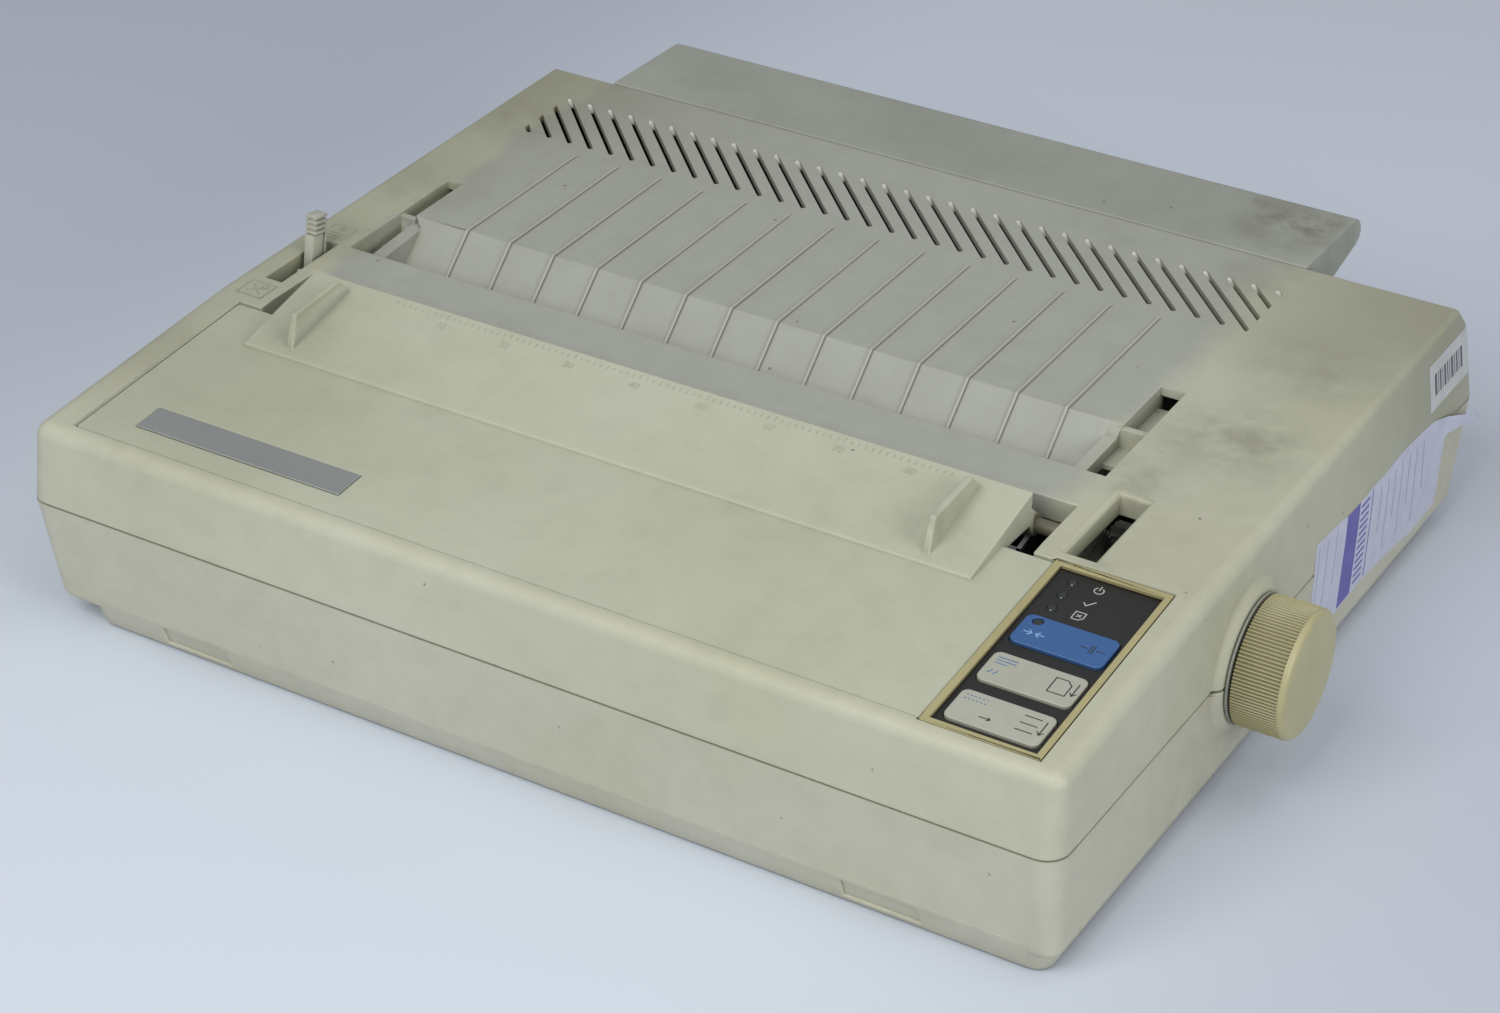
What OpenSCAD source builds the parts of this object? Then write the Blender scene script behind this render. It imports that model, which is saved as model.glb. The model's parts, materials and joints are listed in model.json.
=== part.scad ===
/* [Case] */
// Width of the case at the seam between its two halves
case_w = 377; // [360:1:400]
// Depth of the case along its top
case_d = 306; // [300:1:312]
// Height of the seam above the desk
seam_z = 47; // [45:0.5:49]
// Height of the top at its front edge
front_z = 75.25; // [74:0.25:78]
// Rise of the front part of the top for each mm towards the back
front_rise = 0.089; // [0.07:0.001:0.1]
// Height of the rear part of the top, carried forward to the front edge
rear_z = 80.92; // [80:0.01:83]
// Rise of the rear part of the top for each mm towards the back
rear_rise = 0.033; // [0.02:0.001:0.04]
// Thickness of the moulded walls
wall = 2.5; // [2:0.1:3]
// Width of the open seam between the halves
seam_gap = 0.8; // [0.4:0.1:1]
// How far the rubber feet stand out below the plinth
foot_h = 1; // [0.5:0.5:3]

/* [Top] */
// Number of raised ribs on the paper slope
rib_count = 14; // [8:1:18]
// Distance between two ribs
rib_pitch = 18.16; // [14:0.01:20]
// Where the slope meets the flat top, from the front
ridge_y = 176.4; // [174:0.1:180]
// Number of full vent positions
vent_count = 33; // [20:1:33]
// Distance between two vents
vent_pitch = 9.11; // [8:0.01:10]
// Width of one vent
vent_w = 2; // [1.6:0.1:3]

/* [Lid] */
// Left edge of the lid
lid_x0 = 17.1; // [17:0.1:18]
// Right edge of the lid
lid_x1 = 326.9; // [325:0.1:327]
// Thickness of the lid
lid_t = 2.4; // [2:0.1:3]
// Height of the platform's back edge above the desk
platform_z = 92.3; // [90:0.1:93]
// Thickness of a fin
fin_t = 2.6; // [2:0.1:3]

/* [Paper feed] */
// Distance of the platen's axis behind the front edge
platen_y = 130.2; // [129:0.1:131]
// Radius of the rubber platen
platen_r = 16; // [15:0.1:16.2]
// Radius of the platen shaft
shaft_r = 4; // [3.5:0.1:4.5]
// Radius of the knob
knob_r = 21.4; // [19:0.1:21.6]
// Number of fine grip ribs round the knob
knob_ribs = 110; // [60:1:140]
// Teeth of the platen gear
platen_teeth = 48; // [44:1:50]
// Teeth of the idler gear
idler_teeth = 20; // [18:1:22]
// Teeth of the feed motor's pinion
pinion_teeth = 12; // [12:1:14]

/* [Carriage] */
// Carriage position along the guide rod
carriage_x = 172.3; // [100:0.1:245]
// Radius of the guide rod
rod_r = 5; // [4:0.1:5]
// Radius of the belt pulleys
pulley_r = 7; // [6:0.1:7]

/* [Hidden] */
$fn = 48;
e = 0.01;

// Colours of the finishes
case_c = [0.72, 0.72, 0.63];
grey_c = [0.62, 0.63, 0.58];
cream_c = [0.70, 0.66, 0.50];
black_c = [0.07, 0.07, 0.07];
steel_c = [0.62, 0.63, 0.64];
zinc_c = [0.66, 0.66, 0.60];
rubber_c = [0.09, 0.09, 0.09];
white_c = [0.85, 0.85, 0.80];
board_c = [0.12, 0.34, 0.18];

// Top surface: two planes that meet at the fold
fold_y = (rear_z - front_z) / (front_rise - rear_rise);
tilt = atan(front_rise);
function zf(y) = front_z + front_rise * y;
function zr(y) = rear_z + rear_rise * y;
seam_back = case_d + 27.3;
draft_l = 3;
draft_r = 0.8;
lens_f = sqrt(1 + front_rise * front_rise);
lens_r = sqrt(1 + rear_rise * rear_rise);

// Fixed places shared by several pieces
mid_x = 172.3;
floor_z = 10;
axis_z = seam_z;
exit_x0 = 26;
exit_x1 = 319.3;
exit_y0 = 94.3;
bridge_y0 = 124.9;
bridge_y1 = 145;
hinge_y = 118;
hinge_z = 78;
sep_y = 310.4;
sep_z = 86.2;
rod_y = 86;
rod_z = 33;
frame_l = 33;
frame_r = 311;
frame_t = 1.5;
lever_y = 115;
lever_z = 45;
lever_lean = 25;
bail_y = 140;
bail_z = 70;
belt_y = 69;
belt_z = 32;
drive_x = 43.3;
idle_x = 302.2;
motor_y = 173;
motor_z = 33;
bosses = [[10.4, 22], [358, 106], [27, 293], [358, 293]];
feet = [[38, 30], [348, 30], [38, 282], [348, 282]];
panel_x0 = 327.1;
panel_x1 = 366;
panel_y0 = 7;
panel_y1 = 95.6;
button_x0 = 331.5;
button_x1 = 362.1;
light_x = 335.8;
lights = [88.6, 81.4, 74.4];

// Overall size, used to centre the printer over its origin
knob_end = 399.5;
sep_end = 358.5;
module in_frame() translate([-knob_end / 2, -sep_end / 2, 0]) children();

// Plain helpers
module box(x0, x1, y0, y1, z0, z1) translate([x0, y0, z0]) cube([x1 - x0, y1 - y0, z1 - z0]);
module yz(x0, x1) translate([x0, 0, 0]) rotate([90, 0, 90]) linear_extrude(x1 - x0) children();
module xcyl(x0, x1, y, z, r) translate([x0, y, z]) rotate([0, 90, 0]) cylinder(h = x1 - x0, r = r);
module ycyl(y0, y1, x, z, r) translate([x, y0, z]) rotate([-90, 0, 0]) cylinder(h = y1 - y0, r = r);
module zcyl(z0, z1, x, y, r) translate([x, y, z0]) cylinder(h = z1 - z0, r = r);
module on_top() translate([0, 0, front_z]) rotate([tilt, 0, 0]) children();
module plan(x0, x1, y0, y1, r) hull() for (x = [x0 + r, x1 - r], y = [y0 + r, y1 - r])
  translate([x, y]) circle(r = r, $fn = 32);
module pad(x0, x1, y0, y1, z0, z1, r) {
  box(x0 + r, x1 - r, y0, y1, z0, z1);
  box(x0, x1, y0 + r, y1 - r, z0, z1);
  for (x = [x0 + r, x1 - r], y = [y0 + r, y1 - r]) zcyl(z0, z1, x, y, r);
}

// Trapezoid gear teeth in the plane, one tooth pointing at the angle ph
function gear_pt(n, r, a, ph, k) = [r * cos(ph + k * 360 / n + a), r * sin(ph + k * 360 / n + a)];
module gear2d(n, ph) {
  p = n / 2; t = 1.34; tip = p + 0.75; root = p - 1.0;
  at = (t / 2 - 0.75 * tan(22)) / tip * 180 / PI;
  ar = (t / 2 + 1.0 * tan(22)) / root * 180 / PI;
  polygon([for (k = [0:n - 1]) for (q = [[root, -ar], [tip, -at], [tip, at], [root, ar]])
    gear_pt(n, q[0], q[1], ph, k)]);
}

// Gear train: platen gear, idler and pinion, kept in mesh at rest
dist_pi = (platen_teeth + idler_teeth) / 2;
dist_im = (idler_teeth + pinion_teeth) / 2;
dist_pm = sqrt(pow(motor_y - platen_y, 2) + pow(motor_z - axis_z, 2));
ang_pm = atan2(motor_z - axis_z, motor_y - platen_y);
ang_in = acos((dist_pi * dist_pi + dist_pm * dist_pm - dist_im * dist_im) / (2 * dist_pi * dist_pm));
ang_pi = ang_pm + ang_in;
idler_y = platen_y + dist_pi * cos(ang_pi);
idler_z = axis_z + dist_pi * sin(ang_pi);
ph_platen = ang_pi;
ph_idler = ang_pi + 180 + 180 / idler_teeth;
ang_im = atan2(motor_z - idler_z, motor_y - idler_y);
step_i = 360 / idler_teeth;
lead_i = (ang_im - ph_idler) - floor((ang_im - ph_idler) / step_i) * step_i;
ph_pinion = ang_im + 180 + 180 / pinion_teeth + lead_i * idler_teeth / pinion_teeth;

// Pinch rollers press up from below, sixty degrees either side of straight down
pinch_r = 5;
pinch_d = platen_r + pinch_r + 0.1;
pinch_z = axis_z - pinch_d * cos(30);
pinch_yf = platen_y - pinch_d * sin(30);
pinch_yr = platen_y + pinch_d * sin(30);
tyres = [[70, 95], [125, 150], [195, 220], [250, 275]];

// Solid forms of the case halves, shrunk by o for the inside
module upper_solid(o) hull() {
  for (x = [8, case_w - 8], y = [8, seam_back - 8])
    translate([x, y, o > 0 ? seam_z - 2 : seam_z + seam_gap / 2]) cylinder(r = 8 - o, h = 0.1, $fn = 32);
  for (y = [6.8, fold_y - 0.15])
    for (x = [draft_l + 5.5, case_w - draft_r - 5.5])
      translate([x, y, zf(y) - 5.5 * lens_f]) sphere(r = 5.5 - o, $fn = 32);
  for (x = [draft_l + 4, case_w - draft_r - 2], s = [max(0, o - 1.7)])
    translate([x, case_d - 2 - s, zr(case_d - 2) - 2 * lens_r - s]) sphere(r = max(0.3, 2 - o), $fn = 32);
  for (x = [draft_l + 7.4, case_w - draft_r - 4.2])
    translate([x, case_d + 7.2, 79.6]) sphere(r = 4 - o, $fn = 32);
}
module lower_solid(o) hull() {
  for (x = [8, case_w - 8], y = [8, seam_back - 8])
    translate([x, y, o > 0 ? seam_z + 1 : seam_z - seam_gap / 2 - 0.1])
      cylinder(r = 8 - o, h = 0.1, $fn = 32);
  for (x = [10, case_w - 5.3], y = [10, case_d + 12])
    translate([x, y, floor_z + 2.5]) sphere(r = 5 - o, $fn = 32);
}
module plinth(o, h) hull() for (x = [24.5, 366], y = [15.2, case_d])
  translate([x, y, foot_h - (o > 0 ? 0.1 : 0)]) cylinder(h = h, r1 = 6 - o, r2 = 6 - o + 0.383 * h);
module knob_boss() translate([371, platen_y, axis_z]) rotate([0, 90, 0])
  cylinder(h = 8.6, r1 = 34, r2 = 22.6);

// Lower case: tapered tray on a hollow plinth, inner lip, posts and openings
module lower_case() in_frame() color(case_c) difference() {
  union() {
    difference() {
      union() {
        lower_solid(0);
        plinth(0, floor_z + 2.5 - foot_h);
        intersection() { knob_boss(); box(360, 390, 90, 170, 0, seam_z - seam_gap / 2); }
      }
      lower_solid(wall);
      plinth(wall, floor_z - wall - foot_h + 0.1);
    }
    intersection() {
      translate([0, 0, seam_z - 8.5]) linear_extrude(10.7)
        difference() { plan(3.3, 373.7, 3, 330, 4.9); plan(4.6, 372.3, 4.4, 328, 3.6); }
      union() {
        box(0, 368, 0, 300, 37, 60);
        box(360, 380, 0, 96, 37, 60);
        box(360, 380, 166, 300, 37, 60);
      }
    }
    for (y = [[14, 95], [167, 300]]) box(373, 375, y[0], y[1], seam_z - 8.5, seam_z - 4);
    for (y = [[14, 104], [158, 316]])
      box(374, case_w - 0.4, y[0], y[1], seam_z - 3, seam_z + seam_gap / 2 - 0.1);
    for (b = bosses) zcyl(floor_z - e, seam_z - seam_gap / 2, b[0], b[1], 4);
    for (x = [60, 290], y = [60, 186]) zcyl(floor_z - e, floor_z + 2.5, x, y, 4);
    for (x = [36, 254], y = [212, 288]) zcyl(floor_z - e, floor_z + 4, x, y, 3);
    box(304, 328, 306, 314, floor_z - e, 16);
    box(10, 24, 248, 268, floor_z - e, 18);
  }
  for (b = bosses) { zcyl(0, 60, b[0], b[1], 1.8); zcyl(0, floor_z - wall + e, b[0], b[1], 3.4); }
  for (i = [0:6]) box(298 + i * 6, 301 + i * 6, 200, 222, 0, 12);
  for (i = [0:9]) box(120 + i * 8, 123 + i * 8, 232, 272, 0, 12);
  box(61.4, 116.6, 312, 345, 15.2, 32.6);
  box(301.6, 330.4, 312, 345, 15.6, 36.4);
  for (x = [49, 305]) translate([x, 9.2, foot_h]) rotate([20.9, 0, 0]) box(0, 26, -3, 0.9, 2, 10);
  box(-5, 12, 244.7, 271.3, 17.7, 38.3);
  xcyl(360, 400, platen_y, axis_z, 6);
}

// Latch pockets of the absent paper tractor at both ends of the slope
module pocket_cut(x0, x1, s0, s1) {
  box(x0, x1, bridge_y1, 174.8, 78.5, 95);
  box(x0, x1, 147, 163, 70, 80);
  box(s0, s1, 174.7, 177.5, zr(176) - 1, 95);
  box(s0, s1, 177.4, 204.7, 79.5, 95);
  box(s0, s1, 204.6, 209, 70, zr(204.7) - 3.4);
  zcyl(70, 90, s1 < 100 ? 28.6 : 317, 198, 1.9);
}
module left_web_cut() {
  intersection() {
    yz(30.7, 36) polygon([[bridge_y1, 81.2], [173.2, 83.7], [176.4, 84], [176.4, 95], [bridge_y1, 95]]);
    linear_extrude(110) polygon([[30.7, 144], [36, 144], [36, 173.1], [31.8, 176.4], [30.7, 176.4]]);
  }
  yz(31.7, 36) polygon([[172.6, 83.1], [ridge_y, zr(ridge_y)], [ridge_y, 95], [172.6, 95]]);
}
module right_web_cut() yz(305.4, 310) polygon([[bridge_y1, 81.9], [172.5, 83], [ridge_y, zr(ridge_y)],
  [ridge_y, 95], [bridge_y1, 95]]);
module recess_wall(x, z) yz(x, x + 1) polygon([[144.6, z], [172.5, 83], [ridge_y - 1, 83],
  [151.5, 59.8], [144.6, 66]]);

module vents() intersection() {
  box(24.6, 319.6, 252.8, 286, 80, 100);
  for (i = [-3:vent_count - 1]) translate([26.1 + i * vent_pitch, 284.2, 80]) rotate([0, 0, -46.2]) {
    translate([0, -vent_w / 2, 0]) cube([41.9, vent_w, 20]);
    cylinder(r = vent_w / 2, h = 20, $fn = 24);
    translate([41.9, 0, 0]) cylinder(r = vent_w / 2, h = 20, $fn = 24);
  }
}

// Upper case: shell with rails, bridge strip, ribbed slope, pockets, slots, vents and panel tray
module slope_points() polygon([[ridge_y + 3, zr(ridge_y + 3) - 0.4], [ridge_y, zr(ridge_y)], [151.5, 63],
  [151.5, 59.8], [ridge_y + 3, zr(ridge_y) - 2.8]]);
module upper_case() in_frame() color(case_c) {
  difference() {
    union() {
      difference() {
        union() {
          upper_solid(0);
          intersection() { knob_boss(); box(360, 390, 90, 170, seam_z + seam_gap / 2, 90); }
        }
        upper_solid(wall);
      }
      intersection() {
        upper_solid(0.4);
        union() {
          box(24, 26, 92, 145, 72, 95);
          box(exit_x1, exit_x1 + 2, 92, 145, 72, 95);
          box(24, exit_x1 + 2, bridge_y0, bridge_y0 + 2.2, 76.5, 95);
          box(24, 38, 142.5, 207.5, 76.5, 95);
          box(303.6, 321.2, 142.5, 207.5, 76.5, 95);
          box(12.4, 22.2, 110.6, 145.9, 78.5, 95);
          box(29, 322, 301, 325, 79.5, 95);
          box(325.6, 339.6, 98, 140.4, 77, 95);
          for (b = bosses) zcyl(seam_z - seam_gap / 2, 95, b[0], b[1], 4);
          on_top() box(328.2, 368.4, 5, 98, -12.5, 2);
        }
      }
      for (b = bosses) zcyl(seam_z - seam_gap / 2, seam_z + 3, b[0], b[1], 4);
    }
    box(lid_x0 - 0.4, lid_x1 + 0.4, 7.7, exit_y0, 60, 110);
    box(exit_x0, exit_x1, exit_y0 - 1, bridge_y0, 60, 110);
    on_top() box(panel_x0 - 0.4, panel_x1 + 0.4, panel_y0 - 0.4, panel_y1 + 0.4, -3, 12);
    on_top() box(330.2, 363.6, 9.4, 93.2, -10.6, 12);
    on_top() box(340, 354, 60, 75, -14, -9);
    box(13.8, 20.8, 112, 144.5, 60, 110);
    box(327.6, 337.6, 99.9, 138.5, 60, 110);
    translate([332.6, 119.2, zr(119.2) - 1.3]) rotate([atan(rear_rise), 0, 0])
      linear_extrude(2, scale = [1.4, 1.1]) square([10, 38.6], center = true);
    box(35.9, 305.5, bridge_y1, ridge_y, 60, 110);
    pocket_cut(26, 30.8, 25.6, 31.7);
    pocket_cut(310, 319.2, 310.5, 319.2);
    left_web_cut();
    right_web_cut();
    vents();
    yz(31.3, 319.7) polygon([[case_d - 0.9, 95], [case_d - 0.9, 90.4], [case_d - 2.6, 88.4],
      [case_d - 2.6, 82], [345, 82], [345, 95]]);
    for (x = [20, exit_x1 - 2]) xcyl(x, x + 8, hinge_y, hinge_z, 2.6);
    for (b = bosses) zcyl(0, 62, b[0], b[1], 1.5);
    xcyl(360, 400, platen_y, axis_z, 6);
  }
  yz(35.8, 306) slope_points();
  recess_wall(34.9, 81.1);
  recess_wall(305.5, 81.8);
  box(30.6, 31.9, 174.8, 177.4, 80, zr(176) - 1);
  for (x = [40, 306.8]) difference() {
    union() {
      box(x, x + 4, sep_y - 2.4, sep_y + 2.4, 80, sep_z);
      xcyl(x, x + 4, sep_y, sep_z, 2.4);
    }
    xcyl(x - 1, x + 5, sep_y, sep_z, 1.45);
  }
  for (i = [0:rib_count - 1]) yz(54.18 + i * rib_pitch - 0.5, 54.18 + i * rib_pitch + 0.5)
    polygon([[151.5, 62], [151.5, 63.9], [ridge_y - 0.5, zr(ridge_y) + 0.6], [245, zr(245) + 0.4],
      [246, zr(246) - 0.5], [ridge_y, zr(ridge_y) - 1]]);
}

// Front lid: flat plate, wedge platform with beaded edge, two fins, arms and hinge pins
module front_lid() in_frame() color(case_c) difference() {
  union() {
    on_top() pad(lid_x0, lid_x1, 8.1, 93.7, -0.4 - lid_t, -0.4, 0.8);
    yz(34.8, 309.3) difference() {
      polygon([[72.6, zf(72.6) - 1.5], [72.6, zf(72.6) + 0.7], [74, zf(74) + 0.9], [113.4, platform_z],
        [113.4, platform_z - 3.4], [111, platform_z - 3.4], [93, 84.6], [80, 82.2 - 1.2]]);
    }
    for (x = [34.8, 306.9]) yz(x, x + 2.4) polygon([[76, zf(76) - 2], [113.4, platform_z - 0.5],
      [113.4, platform_z - 6], [121, 80], [120.5, 75.6], [115.5, 75.6], [112, 80.5], [92, zf(92) - 2.6]]);
    for (x = [34.8, 306.9]) xcyl(x, x + 2.4, hinge_y, hinge_z, 3.8);
    xcyl(24.3, 36, hinge_y, hinge_z, 2.5);
    xcyl(308, 321, hinge_y, hinge_z, 2.5);
    for (x = [50, 290.6]) yz(x, x + fin_t)
      polygon([[76, zf(76)], [79.4, 94.9], [103.4, 97.2], [110, 90.9]]);
    on_top() box(20.2, 323.8, 9.8, 11.6, -7, -1);
    on_top() for (x = [20.2, 322]) box(x, x + 1.8, 9.8, 92, -6, -1);
  }
  on_top() pad(34, 115.2, 17.3, 29.8, -0.9, 2, 0.4);
}
module nameplate() in_frame() color(zinc_c) on_top() pad(34.2, 115, 17.5, 29.6, -0.9, -0.2, 0.4);

// Control panel
module control_bezel() in_frame() color(cream_c) on_top() difference() {
  pad(panel_x0, panel_x1, panel_y0, panel_y1, -3, -0.15, 0.6);
  box(panel_x0 + 0.8, panel_x1 - 0.7, panel_y0 + 0.8, panel_y1 - 0.8, -5, -1.8);
  box(panel_x0 + 2.3, panel_x1 - 2.3, panel_y0 + 2.4, panel_y1 - 2.4, -5, 2);
}
module control_overlay() in_frame() color(black_c) on_top() difference() {
  box(panel_x0 + 0.9, panel_x1 - 0.8, panel_y0 + 0.9, panel_y1 - 0.9, -3, -1.8);
  for (y = [12.55, 32.7, 53.6]) pad(button_x0 - 0.25, button_x1 + 0.25, y - 0.25, y + 14.85, -5, 2, 2.7);
  for (y = lights) zcyl(-5, 2, light_x, y, 1.65);
}
module button(y) on_top() difference() {
  union() {
    pad(button_x0, button_x1, y, y + 14.6, -4.2, -0.9, 2.5);
    pad(button_x0 - 0.7, button_x1 + 0.7, y - 0.7, y + 15.3, -4.2, -3.3, 2.5);
    zcyl(-7.2, -4, 348, y + 7.3, 2.5);
  }
  if (y > 50) zcyl(-8, 2, 335.7, y + 12, 1.8);
}
module online_button() in_frame() color([0.2, 0.33, 0.6]) button(53.6);
module form_feed_button() in_frame() color(grey_c) button(32.7);
module line_feed_button() in_frame() color(grey_c) button(12.55);
module panel_board() in_frame() color(board_c) on_top() box(330.6, 363.2, 9.8, 92.8, -10.6, -9);
module panel_switches() in_frame() color(black_c) on_top() for (y = [12.55, 32.7, 53.6]) {
  box(344.8, 351.2, y + 4.1, y + 10.5, -9, -8.5);
  zcyl(-8.6, -8.1, 348, y + 7.3, 1.7);
}
module status_lights() in_frame() color([0.25, 0.3, 0.26]) on_top() {
  for (y = lights) { zcyl(-9, -1.9, light_x, y, 1.5); translate([light_x, y, -1.9]) dome(1.5, 0.5); }
  zcyl(-9, -1.5, 335.7, 65.6, 1.5);
}
module dome(r, h) rotate_extrude()
  polygon([[0, -0.1], [r, -0.1], [r, 0], [r * 0.8, h * 0.6], [r * 0.45, h], [0, h]]);

// Paper separator behind the back edge: hollow plate with end walls
module sep_outline() polygon([[306, 91], [351.4, 91], [355.6, 89.2], [sep_end - 0.5, 86.4],
  [sep_end, 84], [sep_end - 0.9, 81.2], [355, 79.6], [336, 75], [323.5, 72.4], [320, 80],
  [317.5, 83.3], [309.5, 83.3], [307.6, 85], [306, 88.6]]);
module paper_separator() in_frame() color(grey_c) {
  difference() {
    yz(31.8, 319) sep_outline();
    yz(34, 316.8) polygon([[300, 88.8], [350.9, 88.8], [354.4, 87.4], [356.2, 84.2], [354.6, 81.8],
      [351, 81], [350, 60], [300, 60]]);
  }
  for (x = [33.9, 312.2]) {
    xcyl(x, x + 4.7, sep_y, sep_z, 3);
    box(x, x + 4.7, sep_y - 1.5, sep_y + 1.5, sep_z, 89);
  }
  xcyl(38, 43.5, sep_y, sep_z, 1.4);
  xcyl(307.3, 312.6, sep_y, sep_z, 1.4);
}

// Paper release lever standing in the left slot
module release_lever() in_frame() color(white_c)
  translate([0, lever_y, lever_z]) rotate([-lever_lean, 0, 0]) difference() {
    union() {
      xcyl(15.2, 23, 0, 0, 7);
      box(15.4, 19.1, -4, 5.2, 0, 47);
      box(15.2, 19.6, -4, 4.4, 46, 58);
      for (k = [0:3]) box(14.3, 20.3, -4.8, 5.2, 46.4 + k * 3.3, 48.4 + k * 3.3);
      box(19, 22.6, -3, 3, -16, 0);
    }
    box(18.3, 20, -1.8, 2.4, 14, 45);
    xcyl(10, 30, 0, 0, 3.05);
  }

// Platen body
module platen_roller() in_frame() color(rubber_c) difference() {
  xcyl(52, 293, platen_y, axis_z, platen_r);
  xcyl(50, 295, platen_y, axis_z, shaft_r);
}
module platen_shaft() in_frame() color(steel_c) xcyl(27, 391, platen_y, axis_z, shaft_r);
module platen_gear() in_frame() color(white_c) difference() {
  union() {
    translate([0, platen_y, axis_z]) yz(315, 321) gear2d(platen_teeth, ph_platen);
    xcyl(315, 327, platen_y, axis_z, 8);
  }
  xcyl(310, 330, platen_y, axis_z, shaft_r);
  for (a = [0:60:300]) xcyl(310, 330, platen_y + 15 * cos(a), axis_z + 15 * sin(a), 4.5);
}
module tractor_gear() in_frame() color([0.5, 0.5, 0.48]) difference() {
  union() {
    translate([0, platen_y, axis_z]) yz(329.5, 335.5) gear2d(platen_teeth, 0);
    xcyl(327.2, 338, platen_y, axis_z, 8);
  }
  xcyl(320, 340, platen_y, axis_z, shaft_r);
}
rib_shape = [[-0.3, 0.5], [-0.13, 0], [0.13, 0], [0.3, 0.5]];
module knob_ribs2d() polygon([for (k = [0:knob_ribs - 1]) for (q = rib_shape)
  let (a = (k + q[0]) * 360 / knob_ribs, r = knob_r - q[1]) [r * cos(a), r * sin(a)]]);
module platen_knob() in_frame() color(cream_c) difference() {
  union() {
    translate([0, platen_y, axis_z]) yz(381.5, 396.9) knob_ribs2d();
    translate([396.9, platen_y, axis_z]) rotate([0, 90, 0]) rotate_extrude()
      polygon([[0, -0.2], [knob_r - 0.1, -0.2], [knob_r - 0.1, 0.4], [knob_r - 0.4, 1.2],
        [knob_r - 1.1, 1.9], [knob_r - 2.2, 2.2], [10, 2.5], [0, knob_end - 396.9]]);
    xcyl(380.7, 382, platen_y, axis_z, 12);
  }
  xcyl(370, 391, platen_y, axis_z, shaft_r);
}
module knob_collar() in_frame() color(grey_c) difference() {
  xcyl(379.9, 380.7, platen_y, axis_z, 21.6);
  xcyl(370, 391, platen_y, axis_z, shaft_r);
}

// Bushes that carry the platen shaft in the side frames
module bush(x, s) difference() {
  union() {
    xcyl(x, x + frame_t, platen_y, axis_z, 6);
    xcyl(s > 0 ? x + frame_t : x - 1.2, s > 0 ? x + frame_t + 1.2 : x, platen_y, axis_z, 8);
  }
  xcyl(x - 5, x + 5, platen_y, axis_z, shaft_r + 0.05);
}
module platen_bushes() in_frame() color(white_c) { bush(frame_l, -1); bush(frame_r, 1); }

// Sheet steel chassis
module base_plate() in_frame() color(zinc_c) difference() {
  union() {
    box(26, 322, 42, 196, floor_z + 2.5, floor_z + 3.7);
    box(22, 66, 42, 43.2, floor_z + 2.5, 50.5);
    box(295, 309.5, 60, 61.2, floor_z + 2.5, 40);
    ycyl(60, 74, idle_x, belt_z, 2.5);
    ycyl(73.2, 74, idle_x, belt_z, 3.5);
  }
  ycyl(40, 45, drive_x, belt_z, 8);
  for (x = [60, 290], y = [60, 186]) zcyl(0, 30, x, y, 1.6);
  for (x = [100, 170, 240]) zcyl(0, 30, x, 90, 9);
}
module side2d() polygon([[46, floor_z + 3.7], [193, floor_z + 3.7], [193, 52], [152, 75.2], [134, 75.2],
  [126, 60], [46, 60]]);
module side_plate(x) difference() {
  yz(x, x + frame_t) side2d();
  xcyl(x - 1, x + 3, platen_y, axis_z, 6);
  xcyl(x - 1, x + 3, rod_y, rod_z, rod_r);
  xcyl(x - 1, x + 3, bail_y, bail_z, 2.55);
  xcyl(x - 1, x + 3, pinch_yf, pinch_z, 2.05);
  xcyl(x - 1, x + 3, pinch_yr, pinch_z, 2.05);
}
module left_side_frame() in_frame() color(zinc_c) {
  side_plate(frame_l);
  xcyl(14.8, frame_l + 0.5, lever_y, lever_z, 3);
  box(frame_l - 6, frame_l + 0.5, 150, 192, floor_z + 3.7, floor_z + 4.9);
}
module right_side_frame() in_frame() color(zinc_c) difference() {
  union() {
    side_plate(frame_r);
    xcyl(frame_r + 1, 323, idler_y, idler_z, 2.5);
    box(frame_r + 1, 320, 150, 192, floor_z + 3.7, floor_z + 4.9);
  }
  xcyl(frame_r - 1, frame_r + frame_t + 0.5, motor_y, motor_z, 7.5);
}
module frame_screws() in_frame() color(steel_c) {
  for (x = [29.5, 317], y = [158, 185]) {
    zcyl(floor_z + 4.9, floor_z + 6.7, x, y, 2.8);
  }
  for (x = [60, 290], y = [60, 186]) {
    zcyl(floor_z + 3.7, floor_z + 5.5, x, y, 3);
    zcyl(floor_z + 2.5, floor_z + 3.8, x, y, 1.6);
  }
}

// Curved sheet that leads the paper round the platen
module paper_chute() in_frame() color(zinc_c) difference() {
  union() {
    difference() {
      xcyl(53, 292, platen_y, axis_z, 18.2);
      xcyl(50, 295, platen_y, axis_z, 17.4);
      box(50, 295, platen_y - 30, platen_y, axis_z - 6, axis_z + 30);
      box(50, 295, platen_y - 1, platen_y + 30, axis_z + 6, axis_z + 30);
    }
    yz(53, 292) polygon([[147.0, 52.6], [147.6, 52.2], [152.4, 59.2], [151.6, 59.6]]);
    for (x = [58, 283]) box(x, x + 4, 126.2, 134.2, floor_z + 3.7, 29.4);
  }
  for (t = tyres) box(t[0] - 1.5, t[1] + 1.5, platen_y - 19, platen_y - 5, 20, 37);
  for (t = tyres) box(t[0] - 1.5, t[1] + 1.5, platen_y + 5, platen_y + 19, 20, 37);
}
module pinch_shaft(y) xcyl(32, 314, y, pinch_z, 2);
module pinch_tyres(y) for (t = tyres) difference() {
  xcyl(t[0], t[1], y, pinch_z, pinch_r);
  xcyl(t[0] - 1, t[1] + 1, y, pinch_z, 2);
}
module front_pinch_shaft() in_frame() color(steel_c) pinch_shaft(pinch_yf);
module front_pinch_tyres() in_frame() color(rubber_c) pinch_tyres(pinch_yf);
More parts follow.
